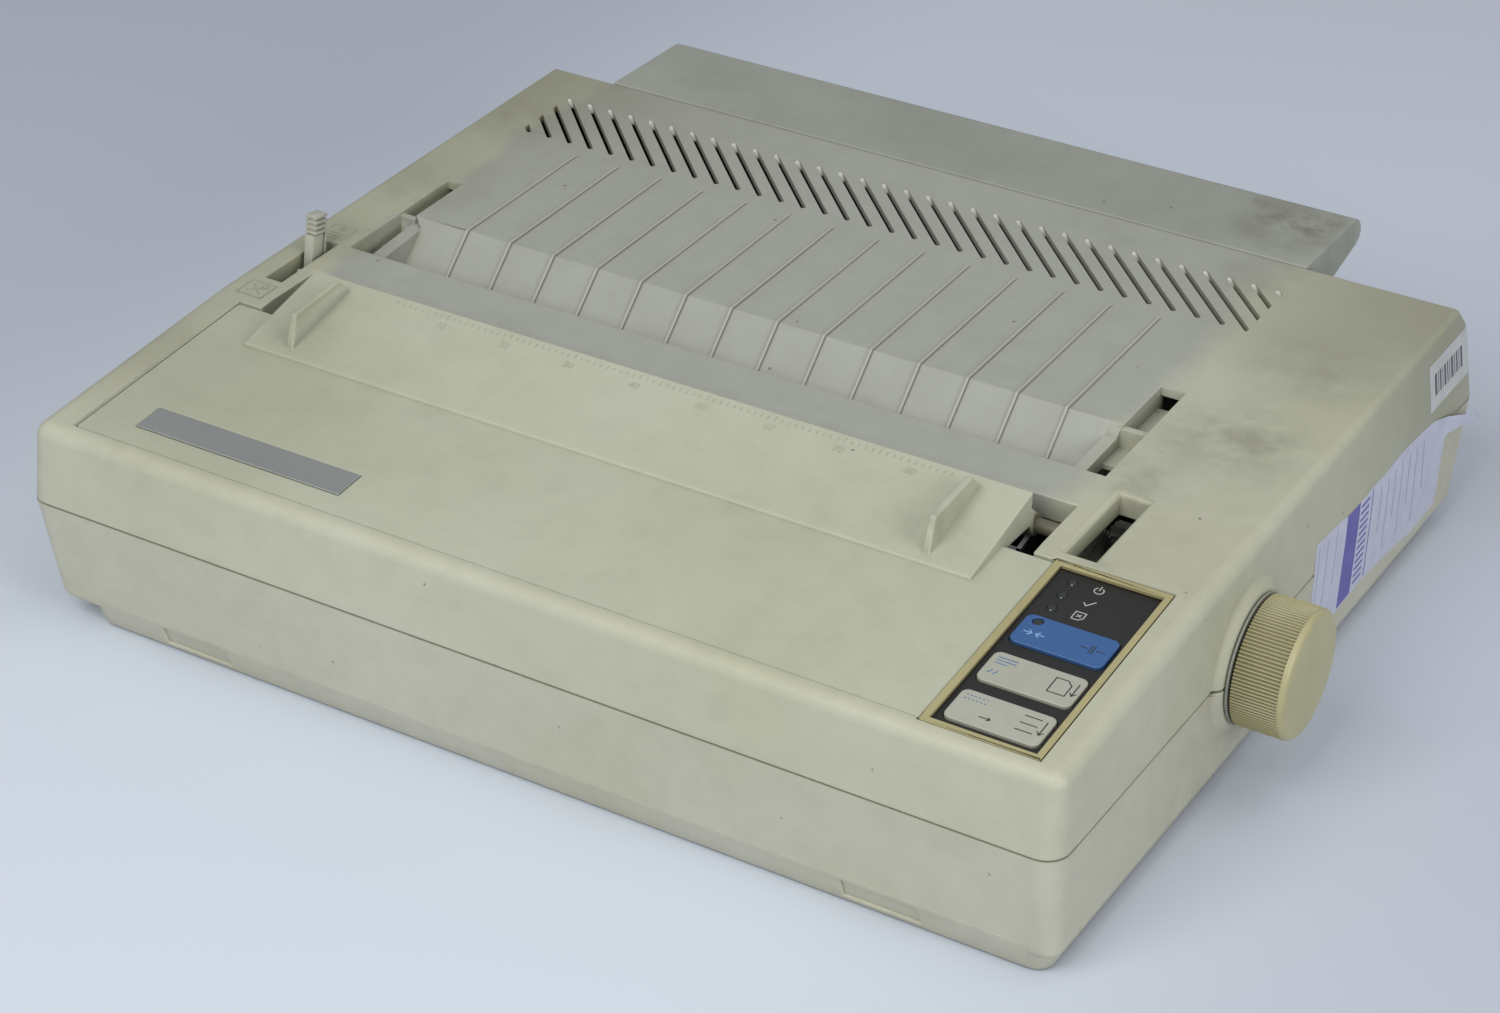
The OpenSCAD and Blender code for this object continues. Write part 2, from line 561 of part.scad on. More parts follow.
module rear_pinch_shaft() in_frame() color(steel_c) pinch_shaft(pinch_yr);
module rear_pinch_tyres() in_frame() color(rubber_c) pinch_tyres(pinch_yr);

// Paper feed motor and gears
module feed_motor() in_frame() color([0.3, 0.3, 0.32]) difference() {
  union() {
    xcyl(277, 309.5, motor_y, motor_z, 18);
    box(309.5, frame_r, motor_y - 19.5, motor_y + 19.5, motor_z - 17, motor_z + 17);
    xcyl(frame_r, 314, motor_y, motor_z, 5);
  }
  xcyl(290, 330, motor_y, motor_z, 2.55);
}
module motor_pinion() in_frame() color([0.75, 0.6, 0.3]) {
  translate([0, motor_y, motor_z]) yz(315, 321) gear2d(pinion_teeth, ph_pinion);
  xcyl(291, 322.5, motor_y, motor_z, 2.5);
}
module idler_gear() in_frame() color(white_c) difference() {
  union() {
    translate([0, idler_y, idler_z]) yz(315, 321) gear2d(idler_teeth, ph_idler);
    xcyl(313.4, 322.4, idler_y, idler_z, 5);
  }
  xcyl(310, 330, idler_y, idler_z, 2.55);
}

// Paper bail over the front of the platen
bail_ry = platen_y - 12.7;
bail_rz = axis_z + 18.2;
module bail_arm(x, s) {
  yz(x, x + 1.5) polygon([[bail_y + 3.5, bail_z - 2], [bail_y + 3, bail_z + 3],
    [bail_y - 4, bail_z + 3.6], [bail_ry - 2, bail_rz + 4], [bail_ry - 4, bail_rz - 1],
    [bail_ry, bail_rz - 4], [bail_y - 2, bail_z - 4]]);
  xcyl(s > 0 ? x : frame_l - 2, s > 0 ? frame_r + frame_t + 2 : x + 1.5, bail_y, bail_z, 2.5);
}
module paper_bail() in_frame() color(steel_c) {
  bail_arm(39.2, -1);
  bail_arm(303.8, 1);
  xcyl(39.5, 305, bail_ry, bail_rz, 2.5);
}
module bail_rollers() in_frame() color(rubber_c) for (x = [80, 130, 205, 255]) difference() {
  xcyl(x, x + 10, bail_ry, bail_rz, 5.9);
  xcyl(x - 1, x + 11, bail_ry, bail_rz, 2.55);
}

// Carriage guides
module guide_rod() in_frame() color(steel_c) xcyl(25, 318, rod_y, rod_z, rod_r);
module guide_rail() in_frame() color(zinc_c) difference() {
  box(frame_l + frame_t, frame_r, 53, 54.5, floor_z + 3.7, 40);
  ycyl(50, 60, drive_x, belt_z, 4);
}

// Carriage with bushes and the print head
module carriage() in_frame() color(black_c) translate([carriage_x, 0, 0]) difference() {
  union() {
    box(-19, 19, 50.4, 100, 43, 46);
    xcyl(-19, 19, rod_y, rod_z, 9);
    box(-19, 19, 79, 93, 36, 44);
    box(-10, 10, 64, 74, 36.6, 44);
    box(-12, 12, 50.4, 57.4, 33, 44);
  }
  xcyl(-20, 20, rod_y, rod_z, 7);
  box(-13, 13, 52.7, 54.8, 30, 40.6);
  box(-20, 20, 65.2, 72.8, 38.3, 41.2);
}
module carriage_bushes() in_frame() color([0.7, 0.5, 0.25]) translate([carriage_x, 0, 0]) for (x = [-19, 9])
  difference() {
    xcyl(x, x + 10, rod_y, rod_z, 7);
    xcyl(x - 1, x + 11, rod_y, rod_z, rod_r + 0.05);
  }
module print_head() in_frame() color([0.16, 0.16, 0.17]) translate([carriage_x, 0, 0]) {
  box(-17, 17, 67, 97, 46, 50);
  for (k = [0:6]) box(-17 + k * 5.33, -15 + k * 5.33, 67, 97, 49, 70);
  box(-12, 12, 72, 92, 49, 67);
  yz(-6, 6) polygon([[90, 46], [98, 46], [112.5, 47.5], [112.5, 53.5], [98, 58], [90, 60]]);
}
module head_cable() in_frame() color([0.8, 0.8, 0.76]) {
  box(140, 162, 98, 204.4, floor_z + 3.8, floor_z + 4.2);
  box(140, 162, 98, 98.4, floor_z + 3.8, 22);
  box(140, 162, 204, 204.4, floor_z + 3.8, floor_z + 6);
  box(140, 162, 204, 212, floor_z + 5.6, floor_z + 6);
}

// Ribbon cartridge
module ribbon_cartridge() in_frame() color(black_c) difference() {
  union() {
    yz(30, 316) polygon([[26, 60], [62, 60], [62, 70.5], [60.5, 72], [27.5, 72], [26, 70.5]]);
    for (x = [41, 295.6]) {
      box(x, x + 8, 58, 111, 42, 60);
      box(x, x + 8, 40, 63, 51, 61);
    }
  }
  for (x = [41, 295.6]) box(x + (x < 100 ? 2 : -1), x + (x < 100 ? 9 : 6), 109, 113, 43, 57);
  zcyl(61, 80, 60, 44, 6.1);
  for (x = [110:20:250]) box(x, x + 12, 34, 54, 71.4, 73);
}
module ink_ribbon() in_frame() color([0.03, 0.03, 0.04]) {
  box(43.2, 301.4, 112.7, 112.9, 43.5, 56.5);
  for (x = [43.2, 301.2]) box(x, x + 0.2, 109.2, 112.9, 43.5, 56.5);
}
module ribbon_knob() in_frame() color([0.2, 0.22, 0.24]) {
  zcyl(62, 72.2, 60, 44, 6);
  translate([60, 44, 72.2]) linear_extrude(1.8) polygon([for (k = [0:47])
    [(k % 4 < 2 ? 9 : 8) * cos(k * 7.5), (k % 4 < 2 ? 9 : 8) * sin(k * 7.5)]]);
}

// Carriage drive
module carriage_motor() in_frame() color([0.3, 0.3, 0.32]) difference() {
  union() { ycyl(18, 42, drive_x, belt_z, 18); ycyl(42, 45, drive_x, belt_z, 5); }
  ycyl(26, 46, drive_x, belt_z, 2.55);
}
module pulley(x) {
  ycyl(65, 73, x, belt_z, pulley_r);
  ycyl(65, 65.8, x, belt_z, 8.7);
  ycyl(72.2, 73, x, belt_z, 8.7);
}
module drive_pulley() in_frame() color(steel_c) {
  pulley(drive_x);
  ycyl(27, 74, drive_x, belt_z, 2.5);
}
module idler_pulley() in_frame() color(white_c) difference() {
  pulley(idle_x);
  ycyl(60, 80, idle_x, belt_z, 2.55);
}
module belt2d(r) { translate([drive_x, belt_z]) circle(r = r); translate([idle_x, belt_z]) circle(r = r);
  translate([drive_x, belt_z - r]) square([idle_x - drive_x, 2 * r]); }
module timing_belt() in_frame() color(rubber_c) translate([0, 72, 0]) rotate([90, 0, 0])
  linear_extrude(6) difference() { belt2d(pulley_r + 1.25); belt2d(pulley_r + 0.05); }
module head_gap_lever() in_frame() color([0.25, 0.35, 0.6]) difference() {
  union() {
    xcyl(27.4, 31.5, rod_y, rod_z, 8.5);
    yz(27.4, 30) polygon([[rod_y - 5, rod_z], [rod_y - 2.4, 62], [rod_y + 2.4, 62], [rod_y + 5, rod_z]]);
    box(26, 31.4, rod_y - 3, rod_y + 3, 61, 68);
  }
  xcyl(20, 40, rod_y, rod_z, rod_r + 0.05);
}

// Electronics
module main_board() in_frame() color(board_c) difference() {
  box(28, 262, 205, 296, floor_z + 4, floor_z + 5.6);
  for (x = [36, 254], y = [212, 288]) zcyl(0, 30, x, y, 1.6);
  box(27, 32.2, 287.5, 297, 10, 20);
}
module board_parts() in_frame() color(black_c) translate([0, 0, floor_z + 5.6]) {
  for (x = [60:34:200]) box(x, x + 14, 214, 250, 0, 4);
  for (x = [70:26:230]) box(x, x + 18, 262, 269, 0, 3.6);
  for (x = [216, 232]) zcyl(0, 22, x, 226, 6.5);
  box(206, 246, 244, 247, 0, 24);
}
module transformer_core() in_frame() color([0.28, 0.26, 0.25]) box(290, 346, 234, 266, floor_z + 0.02, 58);
module transformer_coil() in_frame() color([0.7, 0.55, 0.25]) difference() {
  pad(302, 334, 224, 276, 20, 50, 3);
  box(280, 350, 234, 266, 0, 70);
}
module data_connector() in_frame() color([0.25, 0.3, 0.42]) difference() {
  union() {
    box(62, 116, 312, 322, 16, 32);
    box(68, 110, 321, 326, 18, 30);
    box(64, 114, 290, 313, floor_z + 5.6, 30);
  }
  box(70, 108, 320, 327, 20, 28);
}
module connector_clips() in_frame() color(steel_c) for (x = [64.2, 113.8]) {
  for (z = [18, 29]) box(x - 0.7, x + 0.7, 322, 328.2, z, z + 1.4);
  box(x - 0.7, x + 0.7, 327.2, 328.6, 18, 30.4);
}
module power_inlet() in_frame() color(black_c) {
  difference() { box(302, 330, 305, 326, 16, 36); box(304.5, 327.5, 314, 327, 18.5, 33.5); }
  for (x = [310, 322]) box(x - 1, x + 1, 313, 322, 27, 31);
  box(315, 317, 313, 322, 20, 24);
}
module power_switch() in_frame() color(black_c) difference() {
  box(2.6, 26, 245, 271, 18, 38);
  box(0, 16, 247.5, 268.5, 20, 36);
  ycyl(246, 270, 9.5, 28, 1.05);
}
module power_rocker() in_frame() color(white_c) translate([9.5, 0, 28]) rotate([0, 7, 0]) {
  translate([0, 267.9, 0]) rotate([90, 0, 0]) linear_extrude(19.8)
    polygon([[-5.6, -6.8], [-4.2, 0], [-5.6, 6.8], [1, 6.8], [3.5, 2], [3.5, -2], [1, -6.8]]);
  ycyl(246.3, 269.7, 0, 0, 1);
}

// Feet and screws
module rubber_feet() in_frame() color(rubber_c) for (f = feet) zcyl(0, floor_z - wall, f[0], f[1], 8);
module case_screws() in_frame() color(steel_c) for (b = bosses) {
  zcyl(floor_z - wall - 2.2, floor_z - wall, b[0], b[1], 3);
  zcyl(floor_z - wall, 58, b[0], b[1], 1.5);
}

lower_case();
upper_case();
front_lid();
nameplate();
control_bezel();
control_overlay();
panel_board();
panel_switches();
status_lights();
online_button();
form_feed_button();
line_feed_button();
paper_separator();
release_lever();
platen_roller();
platen_shaft();
platen_gear();
tractor_gear();
platen_knob();
knob_collar();
platen_bushes();
base_plate();
left_side_frame();
right_side_frame();
frame_screws();
paper_chute();
front_pinch_shaft();
front_pinch_tyres();
rear_pinch_shaft();
rear_pinch_tyres();
feed_motor();
motor_pinion();
idler_gear();
paper_bail();
bail_rollers();
guide_rod();
guide_rail();
carriage();
carriage_bushes();
print_head();
head_cable();
ribbon_cartridge();
ink_ribbon();
ribbon_knob();
carriage_motor();
drive_pulley();
idler_pulley();
timing_belt();
head_gap_lever();
main_board();
board_parts();
transformer_core();
transformer_coil();
data_connector();
connector_clips();
power_inlet();
power_switch();
power_rocker();
rubber_feet();
case_screws();
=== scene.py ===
"""Looks of a desktop dot matrix printer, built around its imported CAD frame."""

import json
import logging
import math
from dataclasses import dataclass, field
from enum import Enum
from typing import Callable, Optional, Sequence

import bmesh
import bpy
from mathutils import Matrix, Vector
from mathutils.bvhtree import BVHTree
from mathutils.geometry import intersect_line_line_2d, intersect_point_line


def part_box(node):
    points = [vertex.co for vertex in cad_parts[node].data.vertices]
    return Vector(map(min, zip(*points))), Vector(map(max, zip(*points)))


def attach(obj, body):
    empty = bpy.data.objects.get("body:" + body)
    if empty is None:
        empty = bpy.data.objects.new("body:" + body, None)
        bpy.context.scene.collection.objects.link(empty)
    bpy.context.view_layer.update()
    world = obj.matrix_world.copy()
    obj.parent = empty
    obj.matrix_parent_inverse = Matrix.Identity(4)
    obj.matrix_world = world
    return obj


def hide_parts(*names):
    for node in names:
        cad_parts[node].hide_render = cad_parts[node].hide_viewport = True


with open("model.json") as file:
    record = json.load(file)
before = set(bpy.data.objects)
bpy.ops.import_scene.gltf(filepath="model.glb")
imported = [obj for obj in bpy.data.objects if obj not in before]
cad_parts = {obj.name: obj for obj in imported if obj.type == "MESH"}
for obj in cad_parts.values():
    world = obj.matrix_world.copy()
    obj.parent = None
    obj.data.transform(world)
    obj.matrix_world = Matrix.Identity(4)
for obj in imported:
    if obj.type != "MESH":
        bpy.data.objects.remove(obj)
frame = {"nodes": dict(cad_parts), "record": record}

LOG = logging.getLogger("printer")
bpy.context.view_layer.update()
MM = 0.001
# The case frame starts at the front left corner of the seam; the export frame is centred.
CASE_SHIFT = Vector((-199.75, -179.25, 0.0))
# Height of the flat parts of the top above the front of the seam, and how they rise to the rear.
FRONT_Z, FRONT_RISE = 75.25, 0.089
REAR_Z, REAR_RISE = 80.92, 0.033
PLATFORM_Y, PLATFORM_Z, PLATFORM_RISE = 74.0, 82.74, 0.2427
# Spans of x and y and least z on the upper case, in the case frame, and the part of the rounding
# that edges there take: none on the vents, little on the ribs and on the thin pocket walls.
SHELL_ZONES = (((24, 320), (252, 287), 78, 0.0), ((45, 300), (146, 247), 0, 0.3),
               ((-10, 38), (142, 208), 0, 0.45), ((303, 400), (142, 208), 0, 0.45))
# Gap in metres at which doubled corners are joined, and the bend in degrees that counts as flat.
JOIN_GAP, FLAT_BEND = 0.000003, 0.3
# Edges bent by more than this, in degrees, stay hard in the shading.
HARD_BEND = 40.0
# Difference of area in square metres that shows a face whose outline crosses itself.
AREA_SLACK = 2e-7
# Rounds of narrowing a rounding, how near to a crossing it is narrowed, in widths, and how much.
NARROWING_ROUNDS, NARROWING_REACH, NARROWING = 8, 1.3, 0.4
Point2 = tuple[float, float]


class Slot(Enum):
    """Material slots of the record; the panel's prints use them to tell the film from the keys."""

    CASE = "case"
    LID = "lid"
    GREY = "grey_trim"
    CREAM = "cream_trim"
    PLATE = "plate"
    OVERLAY = "overlay"
    BLUE = "blue_key"
    KEY = "grey_key"
    LEVER = "lever"
    FOOT = "foot"


class Deck(Enum):
    """Flat sloping faces that marks lie on: y and z of their start, and their rise."""

    FRONT = (0.0, FRONT_Z, FRONT_RISE)
    REAR = (0.0, REAR_Z, REAR_RISE)
    PLATFORM = (PLATFORM_Y, PLATFORM_Z, PLATFORM_RISE)


def at(x: float, y: float, z: float) -> Vector:
    """Turns a place in the case frame, in millimetres, into metres of the shared frame.

    Args:
        x: Distance from the left end of the seam.
        y: Distance from the front of the seam.
        z: Height above the desk.

    Returns:
        The place in metres.
    """
    return (Vector((x, y, z)) + CASE_SHIFT) * MM


def deck_matrix(deck: Deck) -> Matrix:
    """Gives the matrix from a deck's own millimetres to metres of the shared frame.

    Args:
        deck: The flat face.

    Returns:
        A matrix whose local x and y run along the face and whose z stands off it.
    """
    y, z, rise = deck.value
    place = Matrix.Translation((0, y, z)) @ Matrix.Rotation(math.atan(rise), 4, "X")
    return Matrix.Scale(MM, 4) @ Matrix.Translation(CASE_SHIFT) @ place


def linear(colour: str) -> tuple[float, float, float, float]:
    """Turns an sRGB hex value into linear colour.

    Args:
        colour: Six hex digits, with or without a leading hash.

    Returns:
        Linear red, green, blue and an alpha of one.
    """
    digits = colour.lstrip("#")
    values = [int(digits[i:i + 2], 16) / 255 for i in (0, 2, 4)]
    flat = [v / 12.92 if v <= 0.04045 else ((v + 0.055) / 1.055) ** 2.4 for v in values]
    return flat[0], flat[1], flat[2], 1.0


def add_node(tree: bpy.types.NodeTree, kind: str, settings: Optional[dict] = None,
             links: Optional[dict] = None) -> bpy.types.Node:
    """Adds one shader node with its settings and links.

    Args:
        tree: The material's node tree.
        kind: The node's class name without its ShaderNode prefix.
        settings: Attribute names, or input names and indexes, and their values.
        links: Input names or indexes, and the sockets that feed them or the values they take.

    Returns:
        The new node.
    """
    node = tree.nodes.new("ShaderNode" + kind)
    for key, value in (settings or {}).items():
        if isinstance(key, str) and hasattr(node, key):
            setattr(node, key, value)
        else:
            node.inputs[key].default_value = value
    for key, feed in (links or {}).items():
        if isinstance(feed, bpy.types.NodeSocket):
            tree.links.new(feed, node.inputs[key])
        else:
            node.inputs[key].default_value = feed
    return node


def start_material(name: str) -> tuple[bpy.types.Material, bpy.types.NodeTree, bpy.types.NodeSocket]:
    """Makes an empty node material.

    Args:
        name: The material's name, after the real material and its process.

    Returns:
        The material, its tree and the object coordinates.
    """
    material = bpy.data.materials.new(name)
    material.use_nodes = True
    tree = material.node_tree
    tree.nodes.clear()
    return material, tree, add_node(tree, "TexCoord").outputs["Object"]


def add_surface(tree: bpy.types.NodeTree, settings: dict, links: dict) -> None:
    """Adds the shader and the output that it feeds.

    Args:
        tree: The material's node tree.
        settings: The shader's own values.
        links: The sockets that feed the shader.
    """
    shader = add_node(tree, "BsdfPrincipled", settings, links)
    add_node(tree, "OutputMaterial", {}, {0: shader.outputs[0]})


def add_grain(tree: bpy.types.NodeTree, place: bpy.types.NodeSocket, size_mm: float, depth: float,
              strength: float, detail: float = 2.0) -> bpy.types.NodeSocket:
    """Adds a fine surface grain.

    Args:
        tree: The material's node tree.
        place: Coordinates in metres.
        size_mm: Size of a grain.
        depth: Depth of the grain in metres.
        strength: How strongly it turns the light.
        detail: How many finer sizes it holds.

    Returns:
        The turned normal.
    """
    noise = add_node(tree, "TexNoise", {"Scale": 1000 / size_mm, "Detail": detail}, {"Vector": place})
    bump = add_node(tree, "Bump", {"Distance": depth, "Strength": strength}, {"Height": noise.outputs[0]})
    return bump.outputs[0]


def paint(tree: bpy.types.NodeTree, first: str,
          layers: Sequence[tuple[bpy.types.NodeSocket, str]]) -> bpy.types.NodeSocket:
    """Lays colours over each other.

    Args:
        tree: The material's node tree.
        first: The lowest colour, as an sRGB hex value.
        layers: For each further colour, the share that it covers and its hex value.

    Returns:
        The colour that shows.
    """
    colour = linear(first)
    for share, tone in layers:
        mixed = add_node(tree, "Mix", {"data_type": "RGBA"}, {0: share, 6: colour, 7: linear(tone)})
        colour = mixed.outputs[2]
    return colour


def overlap(tree: bpy.types.NodeTree, shares: Sequence[bpy.types.NodeSocket]) -> bpy.types.NodeSocket:
    """Multiplies shares, which leaves what all of them cover.

    Args:
        tree: The material's node tree.
        shares: The shares.

    Returns:
        The share that is left.
    """
    left = shares[0]
    for share in shares[1:]:
        left = add_node(tree, "Math", {"operation": "MULTIPLY"}, {0: left, 1: share}).outputs[0]
    return left


@dataclass(frozen=True)
class Patch:
    """A soft ball of darkening around a place in the case frame, used for grime, for browning with painted
    shade and for painted shadow.
    """

    centre: tuple[float, float, float]
    radius: float
    strength: float


def patches(*rows: tuple[float, float, float, float, float]) -> tuple[Patch, ...]:
    """Makes patches from rows of x, y and z in the case frame, radius and strength."""
    return tuple(Patch(row[:3], row[3], row[4]) for row in rows)


@dataclass(frozen=True)
class RibLines:
    """Evenly spaced raised ribs with a painted highlight on their crests and painted shadow along their right
    feet.
    """

    first_x: float = 54.18
    pitch: float = 18.16
    count: int = 14
    half_width: float = 0.55
    foot: float = 1.15
    foot_shadow: float = 0.7
    crest_highlight: str = "#aeb0a5"
    y_range: tuple[float, float] = (150.0, 246.5)


@dataclass(frozen=True)
class Knurling:
    """Fine ribs round a knob: painted shade and grime between them, their crests left in the knob's own
    colour.
    """

    node: str = "platen_knob"
    foot_r: float = 20.85
    crest_r: float = 21.35
    inner_r: float = 20.3
    end_x: float = 397.0
    # Strength of the painted shade and grime in the grooves.
    recess_shade_and_grime: float = 0.8


@dataclass(frozen=True)
class MouldedPlastic:
    """Injection moulded ABS with a fine spark-eroded grain, aged by light and handling.

    The grain breaks up the highlight, slow yellowing clouds the colour, painted shade and some grime darken
    corners, and small specks of dirt lie on the upward faces.
    """

    name: str
    fresh: str
    aged: str
    # Colour of grime and of painted shade.
    grime_and_shade: str = "#5f5a47"
    roughness: float = 0.5
    ior: float = 1.53
    cloud_mm: float = 90.0
    # Real grain is about 0.2 mm; it is drawn at 0.9 mm so that it shows in the render.
    grain_mm: float = 0.9
    grain_depth: float = 0.00003
    # Strength of the painted shade in corners and recesses.
    recess_shade_and_grime: float = 0.35
    specks: float = 0.6
    speck: str = "#4a4130"
    speck_cell_mm: float = 13.0
    faded: Optional[str] = None
    patches: tuple[Patch, ...] = ()
    # Broad smooth patches of browning with painted shade, where less light falls.
    browned_and_shaded: tuple[Patch, ...] = ()
    brown_and_shade: str = "#807e66"
    ribs: Optional[RibLines] = None
    knurling: Optional[Knurling] = None
    # Painted shade in the hinge gap: y where it starts and where it is full, z where it is full and where it
    # ends.
    shade_box: Optional[tuple[float, float, float, float]] = None

    def build(self) -> bpy.types.Material:
        """Builds the node material."""
        material, tree, place = start_material(self.name)
        cloud = add_node(tree, "TexNoise", {"Scale": 1000 / self.cloud_mm, "Detail": 3.0},
                         {"Vector": place}).outputs[0]
        yellowed = add_node(tree, "MapRange", {"From Min": 0.35, "From Max": 0.65}, {"Value": cloud})
        layers = [(yellowed.outputs[0], self.aged)]
        if self.faded:
            layers.append((self._sheltered_area(tree, place), self.faded))
        layers.append((self._shade_and_grime_share(tree, place), self.grime_and_shade))
        layers.append((self._speck_share(tree, place), self.speck))
        layers += [(self._near(tree, place, patch), self.brown_and_shade) for patch in self.browned_and_shaded]
        if self.ribs:
            layers += self._rib_light_and_shadow_layers(tree, place)
        if self.knurling:
            layers.append((self._groove_shade_share(tree, place), self.grime_and_shade))
        if self.shade_box:
            layers.append((self._shaded_area(tree, place), self.grime_and_shade))
        polish = add_node(tree, "MapRange", {"To Min": self.roughness - 0.07,
                                             "To Max": self.roughness + 0.1}, {"Value": cloud})
        add_surface(tree, {"IOR": self.ior}, {
            "Base Color": paint(tree, self.fresh, layers), "Roughness": polish.outputs[0],
            "Normal": add_grain(tree, place, self.grain_mm, self.grain_depth, 0.6)})
        return material

    def _sheltered_area(self, tree: bpy.types.NodeTree,
                        place: bpy.types.NodeSocket) -> bpy.types.NodeSocket:
        """Masks the middle of the rear top, which a clip-on unit kept from yellowing.

        Args:
            tree: The material's node tree.
            place: Object coordinates.

        Returns:
            A share from 0, yellowed, to 1, sheltered.
        """
        axes = add_node(tree, "SeparateXYZ", {}, {0: place})
        wobble = add_node(tree, "TexNoise", {"Scale": 22.0, "Detail": 4.0}, {"Vector": place})
        shift = add_node(tree, "Math", {"operation": "MULTIPLY_ADD", 1: 0.03, 2: -0.015},
                         {0: wobble.outputs[0]})
        shares = []
        left, right, front = at(27, 0, 0).x, at(312, 0, 0).x, at(0, 106, 0).y
        for output, low, high in ((0, left - 0.004, left + 0.004), (0, right + 0.006, right - 0.010),
                                  (1, front - 0.002, front + 0.002)):
            moved = add_node(tree, "Math", {"operation": "ADD"},
                             {0: axes.outputs[output], 1: shift.outputs[0]})
            edge = add_node(tree, "MapRange", {"interpolation_type": "SMOOTHSTEP", "From Min": low,
                                               "From Max": high}, {"Value": moved.outputs[0]})
            shares.append(edge.outputs[0])
        return overlap(tree, shares)

    def _near(self, tree: bpy.types.NodeTree, place: bpy.types.NodeSocket,
              patch: Patch) -> bpy.types.NodeSocket:
        """Fades from a patch's strength at its centre to nothing at its radius.

        Args:
            tree: The material's node tree.
            place: Object coordinates.
            patch: The patch.

        Returns:
            The share of the patch.
        """
        gap = add_node(tree, "VectorMath", {"operation": "DISTANCE", 1: at(*patch.centre)}, {0: place})
        return add_node(tree, "MapRange", {"interpolation_type": "SMOOTHSTEP", "From Min": 0.0,
                                           "From Max": patch.radius * MM, "To Min": patch.strength,
                                           "To Max": 0.0}, {"Value": gap.outputs["Value"]}).outputs[0]

    def _rib_light_and_shadow_layers(self, tree: bpy.types.NodeTree,
                    place: bpy.types.NodeSocket) -> list[tuple[bpy.types.NodeSocket, str]]:
        """Paints a highlight on the rib crests and shadow along their right feet.

        Args:
            tree: The material's node tree.
            place: Object coordinates.

        Returns:
            The shares of the painted shadow at the feet and of the painted highlight on the crests, with
            their colours.
        """
        ribs = self.ribs
        axes = add_node(tree, "SeparateXYZ", {}, {0: place})
        pitch, first = ribs.pitch * MM, at(ribs.first_x, 0, 0).x
        steps = add_node(tree, "Math", {"operation": "MULTIPLY_ADD", 1: 1 / pitch, 2: 0.5 - first / pitch},
                         {0: axes.outputs[0]})
        turn = add_node(tree, "Math", {"operation": "FRACT"}, {0: steps.outputs[0]})
        gap = add_node(tree, "Math", {"operation": "SUBTRACT", 1: 0.5}, {0: turn.outputs[0]}).outputs[0]
        away = add_node(tree, "Math", {"operation": "ABSOLUTE"}, {0: gap}).outputs[0]
        half, foot = ribs.half_width / ribs.pitch, ribs.foot / ribs.pitch
        # Painted highlight on each crest, and painted shadow on the right side of each foot.
        crest_light = add_node(tree, "MapRange", {"From Min": half * 0.75, "From Max": half, "To Min": 1.0,
                                            "To Max": 0.0}, {"Value": away}).outputs[0]
        base = add_node(tree, "MapRange", {"From Min": half, "From Max": foot, "To Min": ribs.foot_shadow,
                                           "To Max": 0.0}, {"Value": away}).outputs[0]
        right = add_node(tree, "Math", {"operation": "GREATER_THAN", 1: 0.0}, {0: gap}).outputs[0]
        near, far = (at(0, y, 0).y for y in ribs.y_range)
        inside = []
        for output, operation, limit in ((1, "GREATER_THAN", near), (1, "LESS_THAN", far),
                                         (0, "GREATER_THAN", first - pitch / 2),
                                         (0, "LESS_THAN", first + (ribs.count - 0.5) * pitch)):
            side = add_node(tree, "Math", {"operation": operation, 1: limit}, {0: axes.outputs[output]})
            inside.append(side.outputs[0])
        return [(overlap(tree, [base, right] + inside), self.grime_and_shade),
                (overlap(tree, [crest_light] + inside), ribs.crest_highlight)]

    def _groove_shade_share(self, tree: bpy.types.NodeTree,
                      place: bpy.types.NodeSocket) -> bpy.types.NodeSocket:
        """Masks painted shade and grime at the bottoms of the grooves between the ribs of a knob.

        Args:
            tree: The material's node tree.
            place: Object coordinates.

        Returns:
            The share of painted shade and grime, by distance from the knob's axis.
        """
        low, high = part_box(self.knurling.node)
        centre = (Vector(low) + Vector(high)) / 2
        offset = add_node(tree, "VectorMath", {"operation": "SUBTRACT", 1: centre}, {0: place})
        flat = add_node(tree, "VectorMath", {"operation": "MULTIPLY", 1: (0, 1, 1)}, {0: offset.outputs[0]})
        radius = add_node(tree, "VectorMath", {"operation": "LENGTH"},
                          {0: flat.outputs[0]}).outputs["Value"]
        groove = add_node(tree, "MapRange", {
            "From Min": self.knurling.foot_r * MM, "From Max": self.knurling.crest_r * MM,
            "To Min": self.knurling.recess_shade_and_grime, "To Max": 0.0}, {"Value": radius})
        shares = [groove.outputs[0]]
        axes = add_node(tree, "SeparateXYZ", {}, {0: place})
        for value, operation, limit in ((radius, "GREATER_THAN", self.knurling.inner_r * MM),
                                        (axes.outputs[0], "LESS_THAN", at(self.knurling.end_x, 0, 0).x)):
            part = add_node(tree, "Math", {"operation": operation, 1: limit}, {0: value})
            shares.append(part.outputs[0])
        return overlap(tree, shares)

    def _shaded_area(self, tree: bpy.types.NodeTree,
                     place: bpy.types.NodeSocket) -> bpy.types.NodeSocket:
        """Masks painted shade on the parts of the lid that sit down in the hinge gap.

        Args:
            tree: The material's node tree.
            place: Object coordinates.

        Returns:
            A share of painted shade inside the box of least y and most z, in the case frame.
        """
        axes = add_node(tree, "SeparateXYZ", {}, {0: place})
        y_from, y_full, z_full, z_to = self.shade_box
        back = add_node(tree, "MapRange", {"From Min": at(0, y_from, 0).y, "From Max": at(0, y_full, 0).y,
                                           "To Max": 0.9}, {"Value": axes.outputs[1]})
        low = add_node(tree, "MapRange", {"From Min": z_to * MM, "From Max": z_full * MM},
                       {"Value": axes.outputs[2]})
        return overlap(tree, [back.outputs[0], low.outputs[0]])

